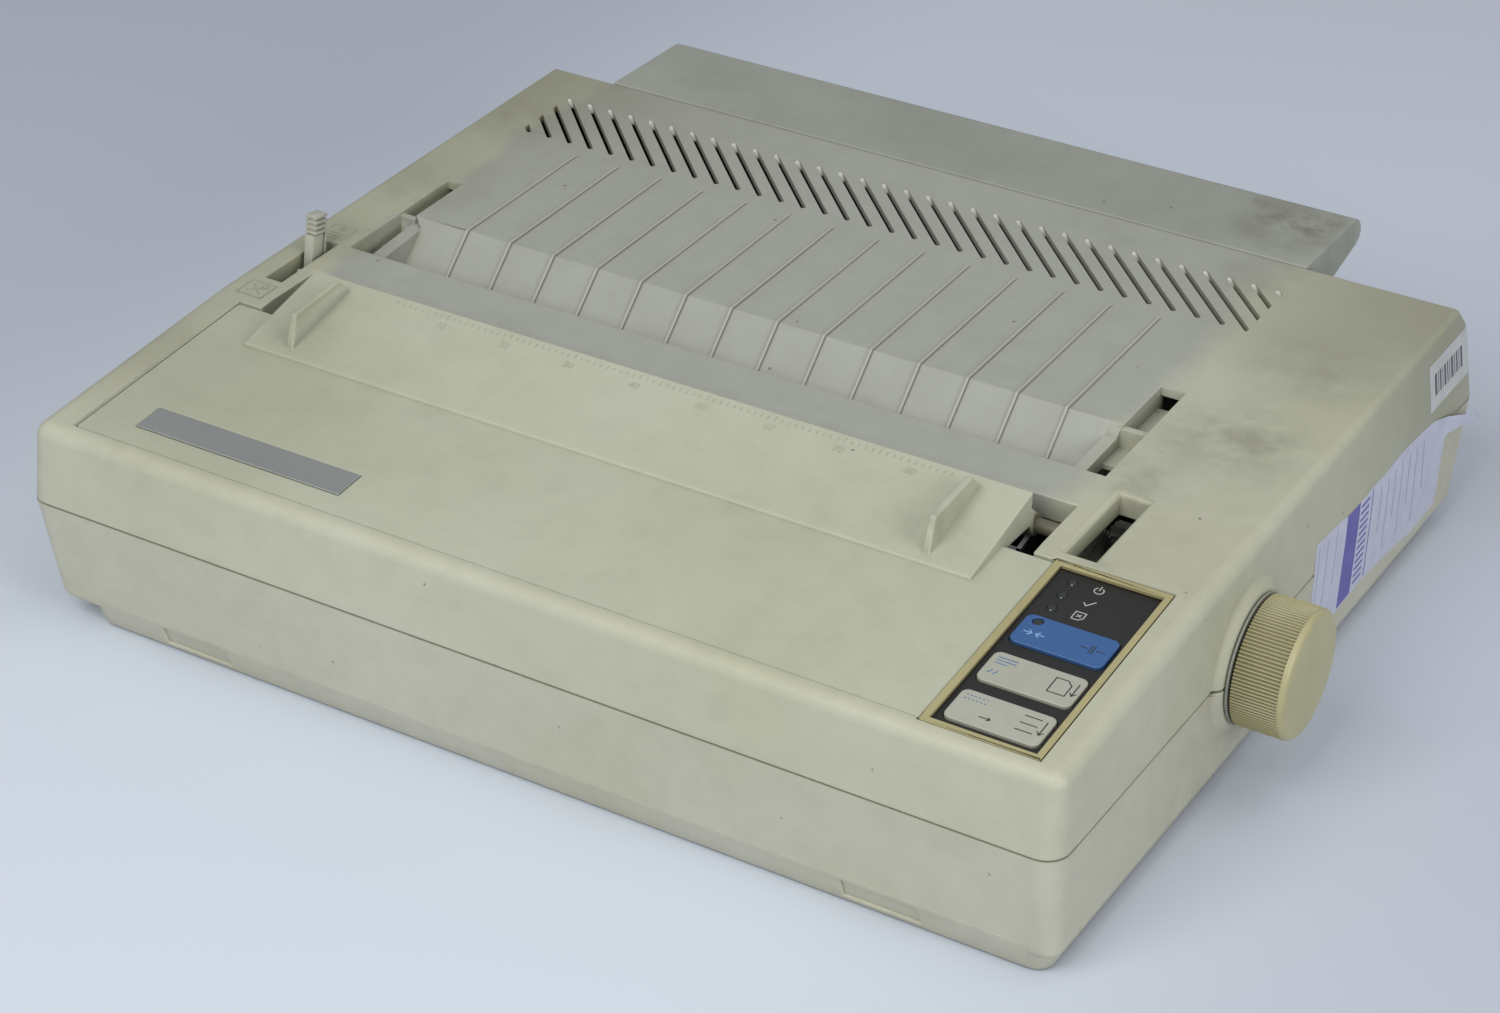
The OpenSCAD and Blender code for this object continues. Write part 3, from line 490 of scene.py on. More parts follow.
    def _shade_and_grime_share(self, tree: bpy.types.NodeTree,
                     place: bpy.types.NodeSocket) -> bpy.types.NodeSocket:
        """Adds painted shade in corners and recesses, a film of grime, and grime in the listed patches.

        Args:
            tree: The material's node tree.
            place: Object coordinates.

        Returns:
            The share of painted shade and grime.
        """
        # Ambient occlusion paints shade into corners and recesses.
        corner = add_node(tree, "AmbientOcclusion", {"Distance": 0.006, "samples": 6})
        share = add_node(tree, "MapRange", {"From Min": 0.25, "From Max": 0.95, "To Min": self.recess_shade_and_grime,
                                            "To Max": 0.0}, {"Value": corner.outputs["AO"]}).outputs[0]
        mottle = add_node(tree, "TexNoise", {"Scale": 85.0, "Detail": 6.0, "Roughness": 0.65},
                          {"Vector": place})
        thick = add_node(tree, "MapRange", {"From Min": 0.42, "From Max": 0.72},
                         {"Value": mottle.outputs[0]})
        film = add_node(tree, "Math", {"operation": "MULTIPLY", 1: 0.10}, {0: thick.outputs[0]})
        share = add_node(tree, "Math", {"operation": "ADD", "use_clamp": True},
                         {0: share, 1: film.outputs[0]}).outputs[0]
        for patch in self.patches:
            smear = add_node(tree, "MapRange", {"From Min": 0.3, "From Max": 0.65},
                             {"Value": mottle.outputs[0]})
            stain = overlap(tree, [self._near(tree, place, patch), smear.outputs[0]])
            share = add_node(tree, "Math", {"operation": "MAXIMUM"}, {0: share, 1: stain}).outputs[0]
        return share

    def _speck_share(self, tree: bpy.types.NodeTree,
                     place: bpy.types.NodeSocket) -> bpy.types.NodeSocket:
        """Scatters small specks of dirt, about one in each 20 mm square.

        Args:
            tree: The material's node tree.
            place: Object coordinates.

        Returns:
            The share of dirt in specks.
        """
        cells = add_node(tree, "TexVoronoi", {"Scale": 1000 / self.speck_cell_mm}, {"Vector": place})
        dot = add_node(tree, "MapRange", {"From Min": 0.035, "From Max": 0.055, "To Min": self.specks,
                                          "To Max": 0.0}, {"Value": cells.outputs["Distance"]})
        pick = add_node(tree, "SeparateColor", {}, {0: cells.outputs["Color"]})
        rare = add_node(tree, "Math", {"operation": "GREATER_THAN", 1: 0.55}, {0: pick.outputs[0]})
        return overlap(tree, [dot.outputs[0], rare.outputs[0]])


@dataclass(frozen=True)
class SheetMetal:
    """Rolled and plated or ground metal: a bright face with fine lines along one direction."""

    name: str
    colour: str
    roughness: float = 0.35
    # Rolling lines are some hundredths of a millimetre wide; drawn at 0.5 mm so that they show.
    line_mm: float = 0.5
    along: tuple[float, float, float] = (0.03, 1.0, 1.0)
    depth: float = 0.00001

    def build(self) -> bpy.types.Material:
        """Builds the node material."""
        material, tree, place = start_material(self.name)
        drawn = add_node(tree, "Mapping", {"Scale": self.along}, {"Vector": place})
        tarnish = add_node(tree, "TexNoise", {"Scale": 30.0, "Detail": 4.0}, {"Vector": place})
        dull = add_node(tree, "MapRange", {"To Min": self.roughness - 0.08,
                                           "To Max": self.roughness + 0.12}, {"Value": tarnish.outputs[0]})
        tone = add_node(tree, "MapRange", {"From Min": 0.3, "From Max": 0.7, "To Min": 0.0, "To Max": 0.35},
                        {"Value": tarnish.outputs[0]})
        bright = linear(self.colour)
        dark = tuple(0.6 * v for v in bright[:3]) + (1.0,)
        colour = add_node(tree, "Mix", {"data_type": "RGBA"}, {0: tone.outputs[0], 6: bright, 7: dark})
        add_surface(tree, {"Metallic": 1.0}, {
            "Base Color": colour.outputs[2], "Roughness": dull.outputs[0],
            "Normal": add_grain(tree, drawn.outputs[0], self.line_mm, self.depth, 0.5, 3.0)})
        return material


@dataclass(frozen=True)
class PlainFinish:
    """A part finish with two close tones and a fine surface grain, such as rubber, paper or film.

    The two tones keep it from looking computed flat, and the grain catches the light.
    """

    name: str
    colour: str
    second: str
    roughness: float = 0.6
    ior: float = 1.5
    mottle_mm: float = 8.0
    grain_mm: float = 1.0
    depth: float = 0.00001
    clear_coat: float = 0.0

    def build(self) -> bpy.types.Material:
        """Builds the node material."""
        material, tree, place = start_material(self.name)
        mottle = add_node(tree, "TexNoise", {"Scale": 1000 / self.mottle_mm, "Detail": 4.0},
                          {"Vector": place}).outputs[0]
        share = add_node(tree, "MapRange", {"From Min": 0.38, "From Max": 0.66}, {"Value": mottle})
        rough = add_node(tree, "MapRange", {"To Min": self.roughness - 0.05,
                                            "To Max": self.roughness + 0.08}, {"Value": mottle})
        add_surface(tree, {"IOR": self.ior, "Coat Weight": self.clear_coat}, {
            "Base Color": paint(tree, self.colour, [(share.outputs[0], self.second)]),
            "Roughness": rough.outputs[0],
            "Normal": add_grain(tree, place, self.grain_mm, self.depth, 0.5)})
        return material


@dataclass(frozen=True)
class StudioPaper:
    """Matt blue-grey background paper, lightest in front of the object, with painted shade to its left and
    right.
    """

    name: str = "matt_background_paper_painted_side_shade"
    far: str = "#d3d9e3"
    near: str = "#d3dae4"
    # Painted shade to the left and right of the object.
    edges: str = "#bcc2cd"

    def build(self) -> bpy.types.Material:
        """Builds the node material."""
        material, tree, place = start_material(self.name)
        axes = add_node(tree, "SeparateXYZ", {}, {0: place})
        depth = add_node(tree, "MapRange", {"interpolation_type": "SMOOTHSTEP", "From Min": 0.25,
                                            "From Max": -0.3}, {"Value": axes.outputs[1]})
        aside = add_node(tree, "Math", {"operation": "ADD", 1: 0.05}, {0: axes.outputs[0]})
        width = add_node(tree, "Math", {"operation": "ABSOLUTE"}, {0: aside.outputs[0]})
        share = add_node(tree, "MapRange", {"interpolation_type": "SMOOTHSTEP", "From Min": 0.12,
                                            "From Max": 0.34, "To Max": 0.85}, {"Value": width.outputs[0]})
        layers = [(depth.outputs[0], self.near), (share.outputs[0], self.edges)]
        add_surface(tree, {"Roughness": 0.9, "Specular IOR Level": 0.2},
                    {"Base Color": paint(tree, self.far, layers)})
        return material


class Finishes:
    """Every finish of the printer, built once and handed out by name."""

    def __init__(self) -> None:
        """Builds the materials."""
        makers = {
            # Moulded ABS, yellowed to a warm beige; a soft satin sheen on the rounded edges.
            "case": MouldedPlastic(
                "yellowed_moulded_ABS_case", "#bbbba6", "#b4b49b", faded="#a6a89c", recess_shade_and_grime=0.22,
                # Painted highlight on the rib crests and painted shadow at their right feet.
                ribs=RibLines(),
                patches=patches((345, 185, 87, 45, 0.42), (330, 150, 86, 26, 0.40), (352, 240, 88, 40, 0.30),
                                (24, 150, 86, 30, 0.35), (340, 96, 84, 18, 0.32), (8, 60, 80, 30, 0.22),
                                (40, 4, 74, 28, 0.18), (200, 2, 60, 60, 0.10), (20, 200, 86, 40, 0.3),
                                (14, 262, 89, 40, 0.35), (310, 292, 90, 34, 0.25), (250, 292, 90, 60, 0.16)),
                # Browning with painted shade, darker along the left rail, at the rear corners and across the
                # rear.
                browned_and_shaded=patches((0, 60, 80, 62, 0.40), (-4, 130, 84, 60, 0.36), (-2, 205, 86, 66, 0.42),
                                (-6, 300, 88, 90, 0.66), (372, 300, 86, 105, 0.62),
                                (335, 250, 89, 40, 0.22), (40, 300, 90, 130, 0.22))),
            # The end walls of the vents, painted paler as a highlight.
            "vent_end": MouldedPlastic("moulded_ABS_vent_end_painted_highlight", "#cbccc1", "#c3c4b8", specks=0.0, recess_shade_and_grime=0.1),
            # The same plastic, kept from the dust of the desk, a little paler.
            "base": MouldedPlastic("yellowed_moulded_ABS_base", "#bebcaa", "#b8b6a0", specks=0.4, recess_shade_and_grime=0.2,
                                   patches=patches((376, 100, 20, 60, 0.2))),
            # The lid has turned slightly green.
            "lid": MouldedPlastic(
                # Painted shade on the parts in the hinge gap.
                "aged_moulded_ABS_lid", "#bbbea8", "#b4b79f", recess_shade_and_grime=0.24, shade_box=(114.2, 115.2, 82.0, 84.5),
                # Browning with painted shade at the front left of the lid.
                browned_and_shaded=patches((20, 50, 78, 120, 0.28)),
                # The first two patches paint shadow beside the two fins.
                patches=patches((292, 84, 88, 26, 0.30), (51, 84, 88, 24, 0.26), (170, 80, 84, 60, 0.08))),
            # Grey beige separator, dirty where hands lift it.
            "separator": MouldedPlastic(
                "grey_moulded_ABS_separator", "#a2a598", "#999c90",
                patches=patches((303, 335, 90, 34, 0.8), (292, 350, 91, 26, 0.55), (60, 330, 91, 30, 0.2))),
            # A thin ring of undyed grey plastic behind the knob.
            "collar": MouldedPlastic("grey_moulded_ABS_collar", "#9b9c90", "#8f9084"),
            # Strongly yellowed knob; painted shade and grime lie between its fine ribs.
            "knob": MouldedPlastic("yellowed_moulded_ABS_knob", "#b4ae85", "#aaa378", grime_and_shade="#4e4629",
                                   roughness=0.34, recess_shade_and_grime=0.3, specks=0.3, knurling=Knurling()),
            # Glossier ivory frame, with painted shade and grime along its inner edge.
            "bezel": MouldedPlastic("ivory_moulded_ABS_bezel", "#b3ab7e", "#a89f72", grime_and_shade="#4a4026",
                                    roughness=0.35, recess_shade_and_grime=0.6, specks=0.3),
            # White plastic that light has hardly reached.
            "lever": MouldedPlastic("white_moulded_ABS_lever", "#b9baab", "#b0b1a0", specks=0.2),
            # Keys polished by fingers: smooth, with a tighter highlight.
            "button_blue": MouldedPlastic("blue_moulded_ABS_key", "#3c659c", "#355d92", grime_and_shade="#1c2c49",
                                          roughness=0.33, recess_shade_and_grime=0.3, specks=0.2),
            "button_grey": MouldedPlastic("grey_moulded_ABS_key", "#b3b3a5", "#a9a99a", roughness=0.36,
                                          recess_shade_and_grime=0.4, specks=0.5),
            # Printed polycarbonate film: nearly black, faint sheen.
            "film": PlainFinish("printed_polycarbonate_film", "#1a1917", "#1e1d1b", 0.48, 1.58, 20, 0.7,
                                0.00002),
            # Screen printed inks: thin, matt and a little uneven.
            "print_white": PlainFinish("white_screen_print", "#b9b9b4", "#a9a9a3", 0.55),
            "print_black": PlainFinish("black_screen_print", "#2b2b2a", "#383734", 0.5),
            "print_blue": PlainFinish("blue_screen_print", "#4a6b9f", "#5a79a6", 0.55),
            "print_pale": PlainFinish("pale_blue_screen_print", "#8fb2da", "#86a8cf", 0.5),
            # Moulded marks on the lid, with a trace of grime against the plate.
            "embossed": PlainFinish("embossed_ABS_marks", "#aeb19b", "#a5a892", 0.5),
            "embossed_case": PlainFinish("embossed_ABS_icons", "#a3a491", "#989983", 0.5),
            # Smoked acrylic lens: dark and glossy.
            "lamp": PlainFinish("smoked_lamp_lens", "#2a2f2a", "#22272a", 0.16, 1.49, clear_coat=0.4),
            # Metals of the works; the lines run along the rolling, turning or winding.
            "plate": SheetMetal("brushed_anodised_aluminium_plate", "#cccdc8", 0.46, 0.6, (0.02, 1, 1)),
            "zinc": SheetMetal("zinc_plated_steel_sheet", "#a9aaa2", 0.38, 0.8, (1, 0.05, 1)),
            "steel": SheetMetal("ground_steel_rod", "#b6b7b8", 0.22, 0.3, (0.02, 1, 1)),
            "bronze": SheetMetal("sintered_bronze", "#a8834b", 0.42, 0.4, (1, 1, 1)),
            "copper": SheetMetal("enamelled_copper_winding", "#9a5b2c", 0.3, 0.5, (1, 0.05, 0.05)),
            "core": SheetMetal("varnished_steel_laminations", "#5d564c", 0.5, 0.5, (0.02, 1, 1)),
            "motor": PlainFinish("black_lacquered_steel", "#1c1c1d", "#242425", 0.35, clear_coat=0.2),
            # Ground and moulded rubber: matt black.
            "rubber": PlainFinish("ground_platen_rubber", "#1d1d1c", "#252523", 0.72, 1.52, 12, 0.6,
                                  0.00003),
            "foot": PlainFinish("moulded_rubber_foot", "#2a2927", "#33312e", 0.8, 1.52),
            # Black plastic and lacquered castings: satin.
            "black": PlainFinish("black_moulded_polystyrene", "#1b1b1a", "#232322", 0.42, 1.59, 14, 0.8,
                                 0.00003),
            "head": PlainFinish("black_anodised_die_casting", "#191a1b", "#26272a", 0.4, 1.5, 5, 0.5,
                                0.00003),
            # Acetal gears: milky white and slightly waxy.
            "gear": PlainFinish("white_moulded_acetal", "#cfcfc5", "#c2c2b6", 0.4, 1.48),
            # Inked nylon: deep black without a highlight.
            "ribbon": PlainFinish("inked_nylon_ribbon", "#0e0e12", "#16161c", 0.7, 1.5, 3, 0.4, 0.00004),
            "cable": PlainFinish("flat_flex_cable", "#c8c7bd", "#b9b8ab", 0.45),
            # Solder resist: green and glossy, over uneven copper.
            "board": PlainFinish("green_solder_resist", "#1f5b33", "#2a6e3f", 0.3, 1.5, 4, 1.2, 0.00005,
                                 clear_coat=0.3),
            "chip": PlainFinish("black_epoxy_packages", "#1a1a1a", "#242424", 0.5),
            # Label papers and their inks, slightly glossy.
            "label": PlainFinish("white_label_paper", "#c3c4c2", "#babbb8", 0.55),
            "label_large": PlainFinish("lilac_label_paper", "#c2c4d2", "#b9bbcb", 0.5),
            "label_band": PlainFinish("violet_label_print", "#5a55a0", "#6660a8", 0.5),
            "label_bar": PlainFinish("grey_bar_print", "#4b4d52", "#585a60", 0.5),
            "label_line": PlainFinish("grey_label_print", "#8b8fa3", "#9a9eb0", 0.55),
        }
        self._materials = {key: maker.build() for key, maker in makers.items()}

    def __getitem__(self, key: str) -> bpy.types.Material:
        """Gives the material stored under a name."""
        return self._materials[key]


def link(piece: bpy.types.Object) -> bpy.types.Object:
    """Links an object into the scene."""
    bpy.context.scene.collection.objects.link(piece)
    return piece


def smooth(mesh: bpy.types.Mesh) -> None:
    """Shades a mesh smooth and keeps its hard edges."""
    mesh.shade_smooth()
    mesh.set_sharp_from_angle(angle=math.radians(HARD_BEND))


def final_mesh(piece: bpy.types.Object) -> bpy.types.Mesh:
    """Copies an object's mesh with its modifiers applied."""
    graph = bpy.context.evaluated_depsgraph_get()
    return bpy.data.meshes.new_from_object(piece.evaluated_get(graph))


def settle(piece: bpy.types.Object) -> None:
    """Applies an object's modifiers to its mesh."""
    mesh = final_mesh(piece)
    piece.modifiers.clear()
    piece.data = mesh


def crossings(mesh: bpy.types.Mesh) -> list[Vector]:
    """Finds where the outline of a face crosses itself, which happens when a rounding is too wide.

    Args:
        mesh: The rounded mesh.

    Returns:
        The places of the crossings.
    """
    mesh.calc_loop_triangles()
    covered = [0.0] * len(mesh.polygons)
    for triangle in mesh.loop_triangles:
        covered[triangle.polygon_index] += triangle.area
    spots: list[Vector] = []
    for face in mesh.polygons:
        if abs(covered[face.index] - face.area) < AREA_SLACK:
            continue
        drop = max(range(3), key=lambda i: abs(face.normal[i]))
        corners = [mesh.vertices[i].co for i in face.vertices]
        flat = [Vector([c for i, c in enumerate(corner) if i != drop]) for corner in corners]
        count = len(flat)
        for i in range(count):
            for j in range(i + 2, count - (i == 0)):
                met = intersect_line_line_2d(flat[i], flat[(i + 1) % count], flat[j], flat[(j + 1) % count])
                if met:
                    span = (flat[(i + 1) % count] - flat[i]).length or 1.0
                    spots.append(corners[i].lerp(corners[(i + 1) % count], (met - flat[i]).length / span))
    return spots


def soften(node: str, name: str, width: float, material: bpy.types.Material, segments: int = 2,
           angle: float = 30.0, share: Optional[Callable[[Vector], float]] = None) -> None:
    """Makes a copy of a CAD node whose outward edges are rounded, riding on the node's body.

    Args:
        node: The CAD node that the copy stands for.
        name: Name of the new piece.
        width: Width of the rounding in millimetres.
        material: Its finish.
        segments: Faces across each rounded edge.
        angle: Edges sharper than this, in degrees, are rounded.
        share: Gives, from an edge's place in the case frame, the part of the width it takes.
    """
    mesh = frame["nodes"][node].data.copy()
    mesh.name = name
    mesh.materials.clear()
    shape = bmesh.new()
    shape.from_mesh(mesh)
    bmesh.ops.remove_doubles(shape, verts=shape.verts, dist=JOIN_GAP)
    bmesh.ops.dissolve_degenerate(shape, edges=shape.edges, dist=JOIN_GAP)
    bmesh.ops.dissolve_limit(shape, angle_limit=math.radians(FLAT_BEND), verts=shape.verts,
                             edges=shape.edges)
    weight = shape.edges.layers.float.new("bevel_weight_edge")
    for edge in shape.edges:
        if len(edge.link_faces) == 2 and edge.is_convex and edge.calc_face_angle(0) > math.radians(angle):
            middle = (edge.verts[0].co + edge.verts[1].co) / 2 / MM - CASE_SHIFT
            edge[weight] = share(middle) if share else 1.0
    piece = link(bpy.data.objects.new(name, mesh))
    bevel = piece.modifiers.new("rounding", "BEVEL")
    bevel.width = width * MM
    bevel.segments = segments
    bevel.limit_method = "WEIGHT"
    bevel.use_clamp_overlap = False
    bevel.miter_outer = "MITER_ARC"
    for _ in range(NARROWING_ROUNDS):
        shape.to_mesh(mesh)
        mesh.update()
        piece.update_tag()
        rounded = final_mesh(piece)
        spots = crossings(rounded)
        bpy.data.meshes.remove(rounded)
        if not spots:
            break
        for edge in shape.edges:
            ends = [v.co for v in edge.verts]
            if edge[weight] and any(gap_to(spot, *ends) < NARROWING_REACH * width * MM for spot in spots):
                edge[weight] *= NARROWING
    LOG.info("%s rounded, %d crossing(s) left", name, len(spots))
    shape.free()
    settle(piece)
    smooth(piece.data)
    flat = piece.modifiers.new("flat_faces", "WEIGHTED_NORMAL")
    flat.keep_sharp = True
    settle(piece)
    body = next(b for b, nodes in frame["record"]["behaviour"]["bodies"].items() if node in nodes)
    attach(piece, body)
    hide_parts(node)
    dress(piece, material)


def gap_to(spot: Vector, start: Vector, end: Vector) -> float:
    """Measures how far a place is from a straight edge.

    Args:
        spot: The place.
        start: One end of the edge.
        end: The other end.

    Returns:
        The distance.
    """
    foot, share = intersect_point_line(spot, start, end)
    return (spot - (start if share < 0 else end if share > 1 else foot)).length


def shell_share(place: Vector) -> float:
    """Looks up how much of the rounding an edge of the upper case takes.

    Args:
        place: Middle of the edge, in the case frame.

    Returns:
        The part of the full width.
    """
    for (x0, x1), (y0, y1), least_z, share in SHELL_ZONES:
        if x0 < place.x < x1 and y0 < place.y < y1 and place.z > least_z:
            return share
    return 1.0


def dress(piece: bpy.types.Object, material: bpy.types.Material) -> None:
    """Gives a new piece its material.

    Args:
        piece: The object.
        material: Its finish.
    """
    piece.data.materials.clear()
    piece.data.materials.append(material)


def dress_node(node: str, material: bpy.types.Material) -> None:
    """Gives a carried-over CAD node its material."""
    for slot in frame["nodes"][node].material_slots:
        slot.material = material


def prism_mesh(name: str, rings: Sequence[Sequence[Vector]]) -> bpy.types.Mesh:
    """Builds flat strips or plates with a little height from outlines.

    Args:
        name: Name of the mesh.
        rings: For each shape, its outline at the bottom followed by its outline at the top.

    Returns:
        The mesh.
    """
    mesh = bpy.data.meshes.new(name)
    verts: list[Vector] = []
    faces: list[tuple[int, ...]] = []
    for ring in rings:
        start, half = len(verts), len(ring) // 2
        verts.extend(ring)
        for i in range(half):
            j = (i + 1) % half
            faces.append((start + i, start + j, start + half + j, start + half + i))
        faces.append(tuple(start + half + i for i in range(half)))
        faces.append(tuple(start + half - 1 - i for i in range(half)))
    mesh.from_pydata([tuple(v) for v in verts], [], faces)
    mesh.update()
    return mesh


def stroke_outline(points: Sequence[Point2], width: float) -> list[Point2]:
    """Widens a run of points into a closed outline.

    Args:
        points: The middle line, in millimetres.
        width: Width of the stroke.

    Returns:
        The outline, anticlockwise.
    """
    left: list[Point2] = []
    right: list[Point2] = []
    for i, (x, y) in enumerate(points):
        before = Vector(points[i]) - Vector(points[i - 1]) if i else None
        after = Vector(points[i + 1]) - Vector(points[i]) if i < len(points) - 1 else None
        first = (before or after).normalized()
        second = (after or before).normalized()
        lean = (first + second).normalized()
        reach = width / 2 / max(0.5, lean.dot(first))
        left.append((x - lean.y * reach, y + lean.x * reach))
        right.append((x + lean.y * reach, y - lean.x * reach))
    return right + left[::-1]


def circle(x: float, y: float, r: float, start: float = 0.0, end: float = 360.0,
           steps: int = 20) -> list[Point2]:
    """Gives points along an arc, in millimetres and degrees."""
    turns = [math.radians(start + (end - start) * i / steps) for i in range(steps + 1)]
    return [(x + r * math.cos(t), y + r * math.sin(t)) for t in turns]


def marks(name: str, deck: Deck, base: float, height: float, outlines: Sequence[Sequence[Point2]],
          body: str, material: bpy.types.Material) -> None:
    """Builds prints or embossed marks as thin plates on a flat face.

    Args:
        name: Name of the piece.
        deck: The face they lie on.
        base: Height of their underside off the face, in millimetres.
        height: Their thickness.
        outlines: One closed outline for each mark.
        body: The body that they ride on.
        material: Their finish.
    """
    matrix = deck_matrix(deck)
    rings = []
    for outline in outlines:
        low = [matrix @ Vector((x, y, base)) for x, y in outline]
        high = [matrix @ Vector((x, y, base + height)) for x, y in outline]
        rings.append(low + high)
    piece = link(bpy.data.objects.new(name, prism_mesh(name, rings)))
    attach(piece, body)
    dress(piece, material)


@dataclass
class CaseShell:
    """Upper and lower case with feet, screws and the embossed icons of the left rail."""

    edge_mm: float = 0.55
    foot_edge: float = 0.8
    icon_line: float = 0.35
    icon_height: float = 0.22
    icon_box: tuple[float, float, float, float] = (11.6, 21.8, 98.9, 108.2)
    vent_tip: Point2 = (26.1, 284.2)
    vent_pitch: float = 9.11
    vent_count: int = 33
    vent_turn: float = -46.2
    vent_half: float = 0.97
    vent_ramp: float = 2.3
    vent_wall: float = 2.6
    vent_rim: float = 0.06
    vent_fall: float = 0.6
    mark_sink: float = -0.05
    finishes: Optional[Finishes] = None

    def build(self) -> None:
        """Builds and dresses the shell."""
        self.vent_ends()
        soften("upper_case", "upper_case_shell", self.edge_mm, self.finishes["case"],
               share=shell_share)
        soften("lower_case", "lower_case_shell", self.edge_mm, self.finishes["base"])
        soften("rubber_feet", "moulded_feet", self.foot_edge, self.finishes["foot"])
        dress_node("case_screws", self.finishes["steel"])
        self.icons()

    def vent_ends(self) -> None:
        """Makes the sloped end wall at the rear tip of each vent, which catches the light."""
        turn, shapes = math.radians(self.vent_turn), []
        plan = [(self.vent_ramp, -self.vent_half), (self.vent_ramp, self.vent_half)]
        plan += circle(0, 0, self.vent_half, 90, 270, 8)
        for i in range(self.vent_count):
            foot, crown = [], []
            tip_x, tip_y = self.vent_tip[0] + i * self.vent_pitch, self.vent_tip[1]
            for along, across in plan:
                x = tip_x + along * math.cos(turn) - across * math.sin(turn)
                y = tip_y + along * math.sin(turn) + across * math.cos(turn)
                deck = REAR_Z + REAR_RISE * y
                drop = self.vent_rim + self.vent_fall * max(0.0, along + self.vent_half)
                foot.append(at(x, y, deck - self.vent_wall))
                crown.append(at(x, y, deck - drop))
            shapes.append(foot + crown)
        piece = link(bpy.data.objects.new("vent_end_walls", prism_mesh("vent_end_walls", shapes)))
        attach(piece, "case")
        dress(piece, self.finishes["vent_end"])

    def icons(self) -> None:
        """Embosses a lever pictogram beside the release lever and a frame behind it."""
        x0, x1, y0, y1 = self.icon_box
        outlines = [stroke_outline(run, self.icon_line) for run in (
            [(x0, y0), (x1, y0), (x1, y1), (x0, y1), (x0, y0)],
            [(x0 + 2, y0 + 2.2), (x0 + 5, y0 + 4.4), (x0 + 8.2, y0 + 6.6)],
            [(x0 + 2.2, y1 - 2.2), (x0 + 5, y0 + 4.4), (x1 - 2.2, y0 + 2)],
            circle(x0 + 7.2, y1 - 2.6, 1.3),
        )]
        rear = [stroke_outline(run, self.icon_line) for run in (
            [(11.2, 147.2), (20.6, 147.2), (20.6, 156.4), (11.2, 156.4), (11.2, 147.2)],
            [(13, 149), (18.8, 149)], [(13, 151), (18.8, 151)],
            [(15.9, 152.4), (15.9, 155.2)], [(14.7, 154), (15.9, 155.2), (17.1, 154)])]
        for name, shapes in (("lever_icon", outlines), ("paper_icon", rear)):
            marks(name, Deck.REAR, self.mark_sink, self.icon_height, shapes, "case",
                  self.finishes["embossed_case"])


@dataclass
class FrontLid:
    """Hinged lid with its bare nameplate and the embossed column scale on the platform."""

    edge_mm: float = 0.6
    plate_edge: float = 0.25
    first_numeral_x: float = 92.0
    numeral_pitch: float = 25.4
    numerals: int = 8
    numeral_mm: float = 3.2
    tick_pitch: float = 2.54
    tick_len: float = 1.5
    tick_w: float = 0.35
    tick_y: float = 109.6
    ticks_before: int = 8
    ticks_after: int = 7
    numeral_gap: float = 3.6
    finishes: Optional[Finishes] = None

    def build(self) -> None:
        """Builds and dresses the lid."""
        soften("front_lid", "hinged_front_lid", self.edge_mm, self.finishes["lid"])
        soften("nameplate", "bare_nameplate", self.plate_edge, self.finishes["plate"])
        self.scale()

    def scale(self) -> None:
        """Embosses ten-column numerals, rings and ticks along the back of the platform."""
        tick_y = (self.tick_y - PLATFORM_Y) * math.hypot(1, PLATFORM_RISE)
        numeral_y = tick_y - self.numeral_gap
        ticks = []
        first = self.first_numeral_x - self.ticks_before * self.tick_pitch
        last = self.first_numeral_x + (self.numerals - 1) * self.numeral_pitch
        for i in range(int((last - first) / self.tick_pitch) + self.ticks_after):
            x = first + i * self.tick_pitch
            reach = self.tick_len * (1.5 if (i - self.ticks_before) % 10 == 0 else 1.0)
            ticks.append(stroke_outline([(x, tick_y), (x, tick_y + reach)], self.tick_w))
        marks("column_ticks", Deck.PLATFORM, -0.04, 0.16, ticks, "lid", self.finishes["embossed"])
        matrix = deck_matrix(Deck.PLATFORM)
        for i in range(self.numerals):
            x = self.first_numeral_x + i * self.numeral_pitch
            curve = bpy.data.curves.new(f"numeral_{i + 1}0", "FONT")
            curve.body = f"{i + 1}0"
            curve.size = self.numeral_mm * 1.25
            curve.align_x = curve.align_y = "CENTER"
            curve.extrude, curve.offset = 0.08, 0.03
            text = link(bpy.data.objects.new(curve.name, curve))
            mesh = final_mesh(text)
            bpy.data.objects.remove(text)
            mesh.transform(matrix @ Matrix.Translation((x, numeral_y, 0.03)))
            piece = link(bpy.data.objects.new(f"column_numeral_{i + 1}0", mesh))
            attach(piece, "lid")
            dress(piece, self.finishes["embossed"])


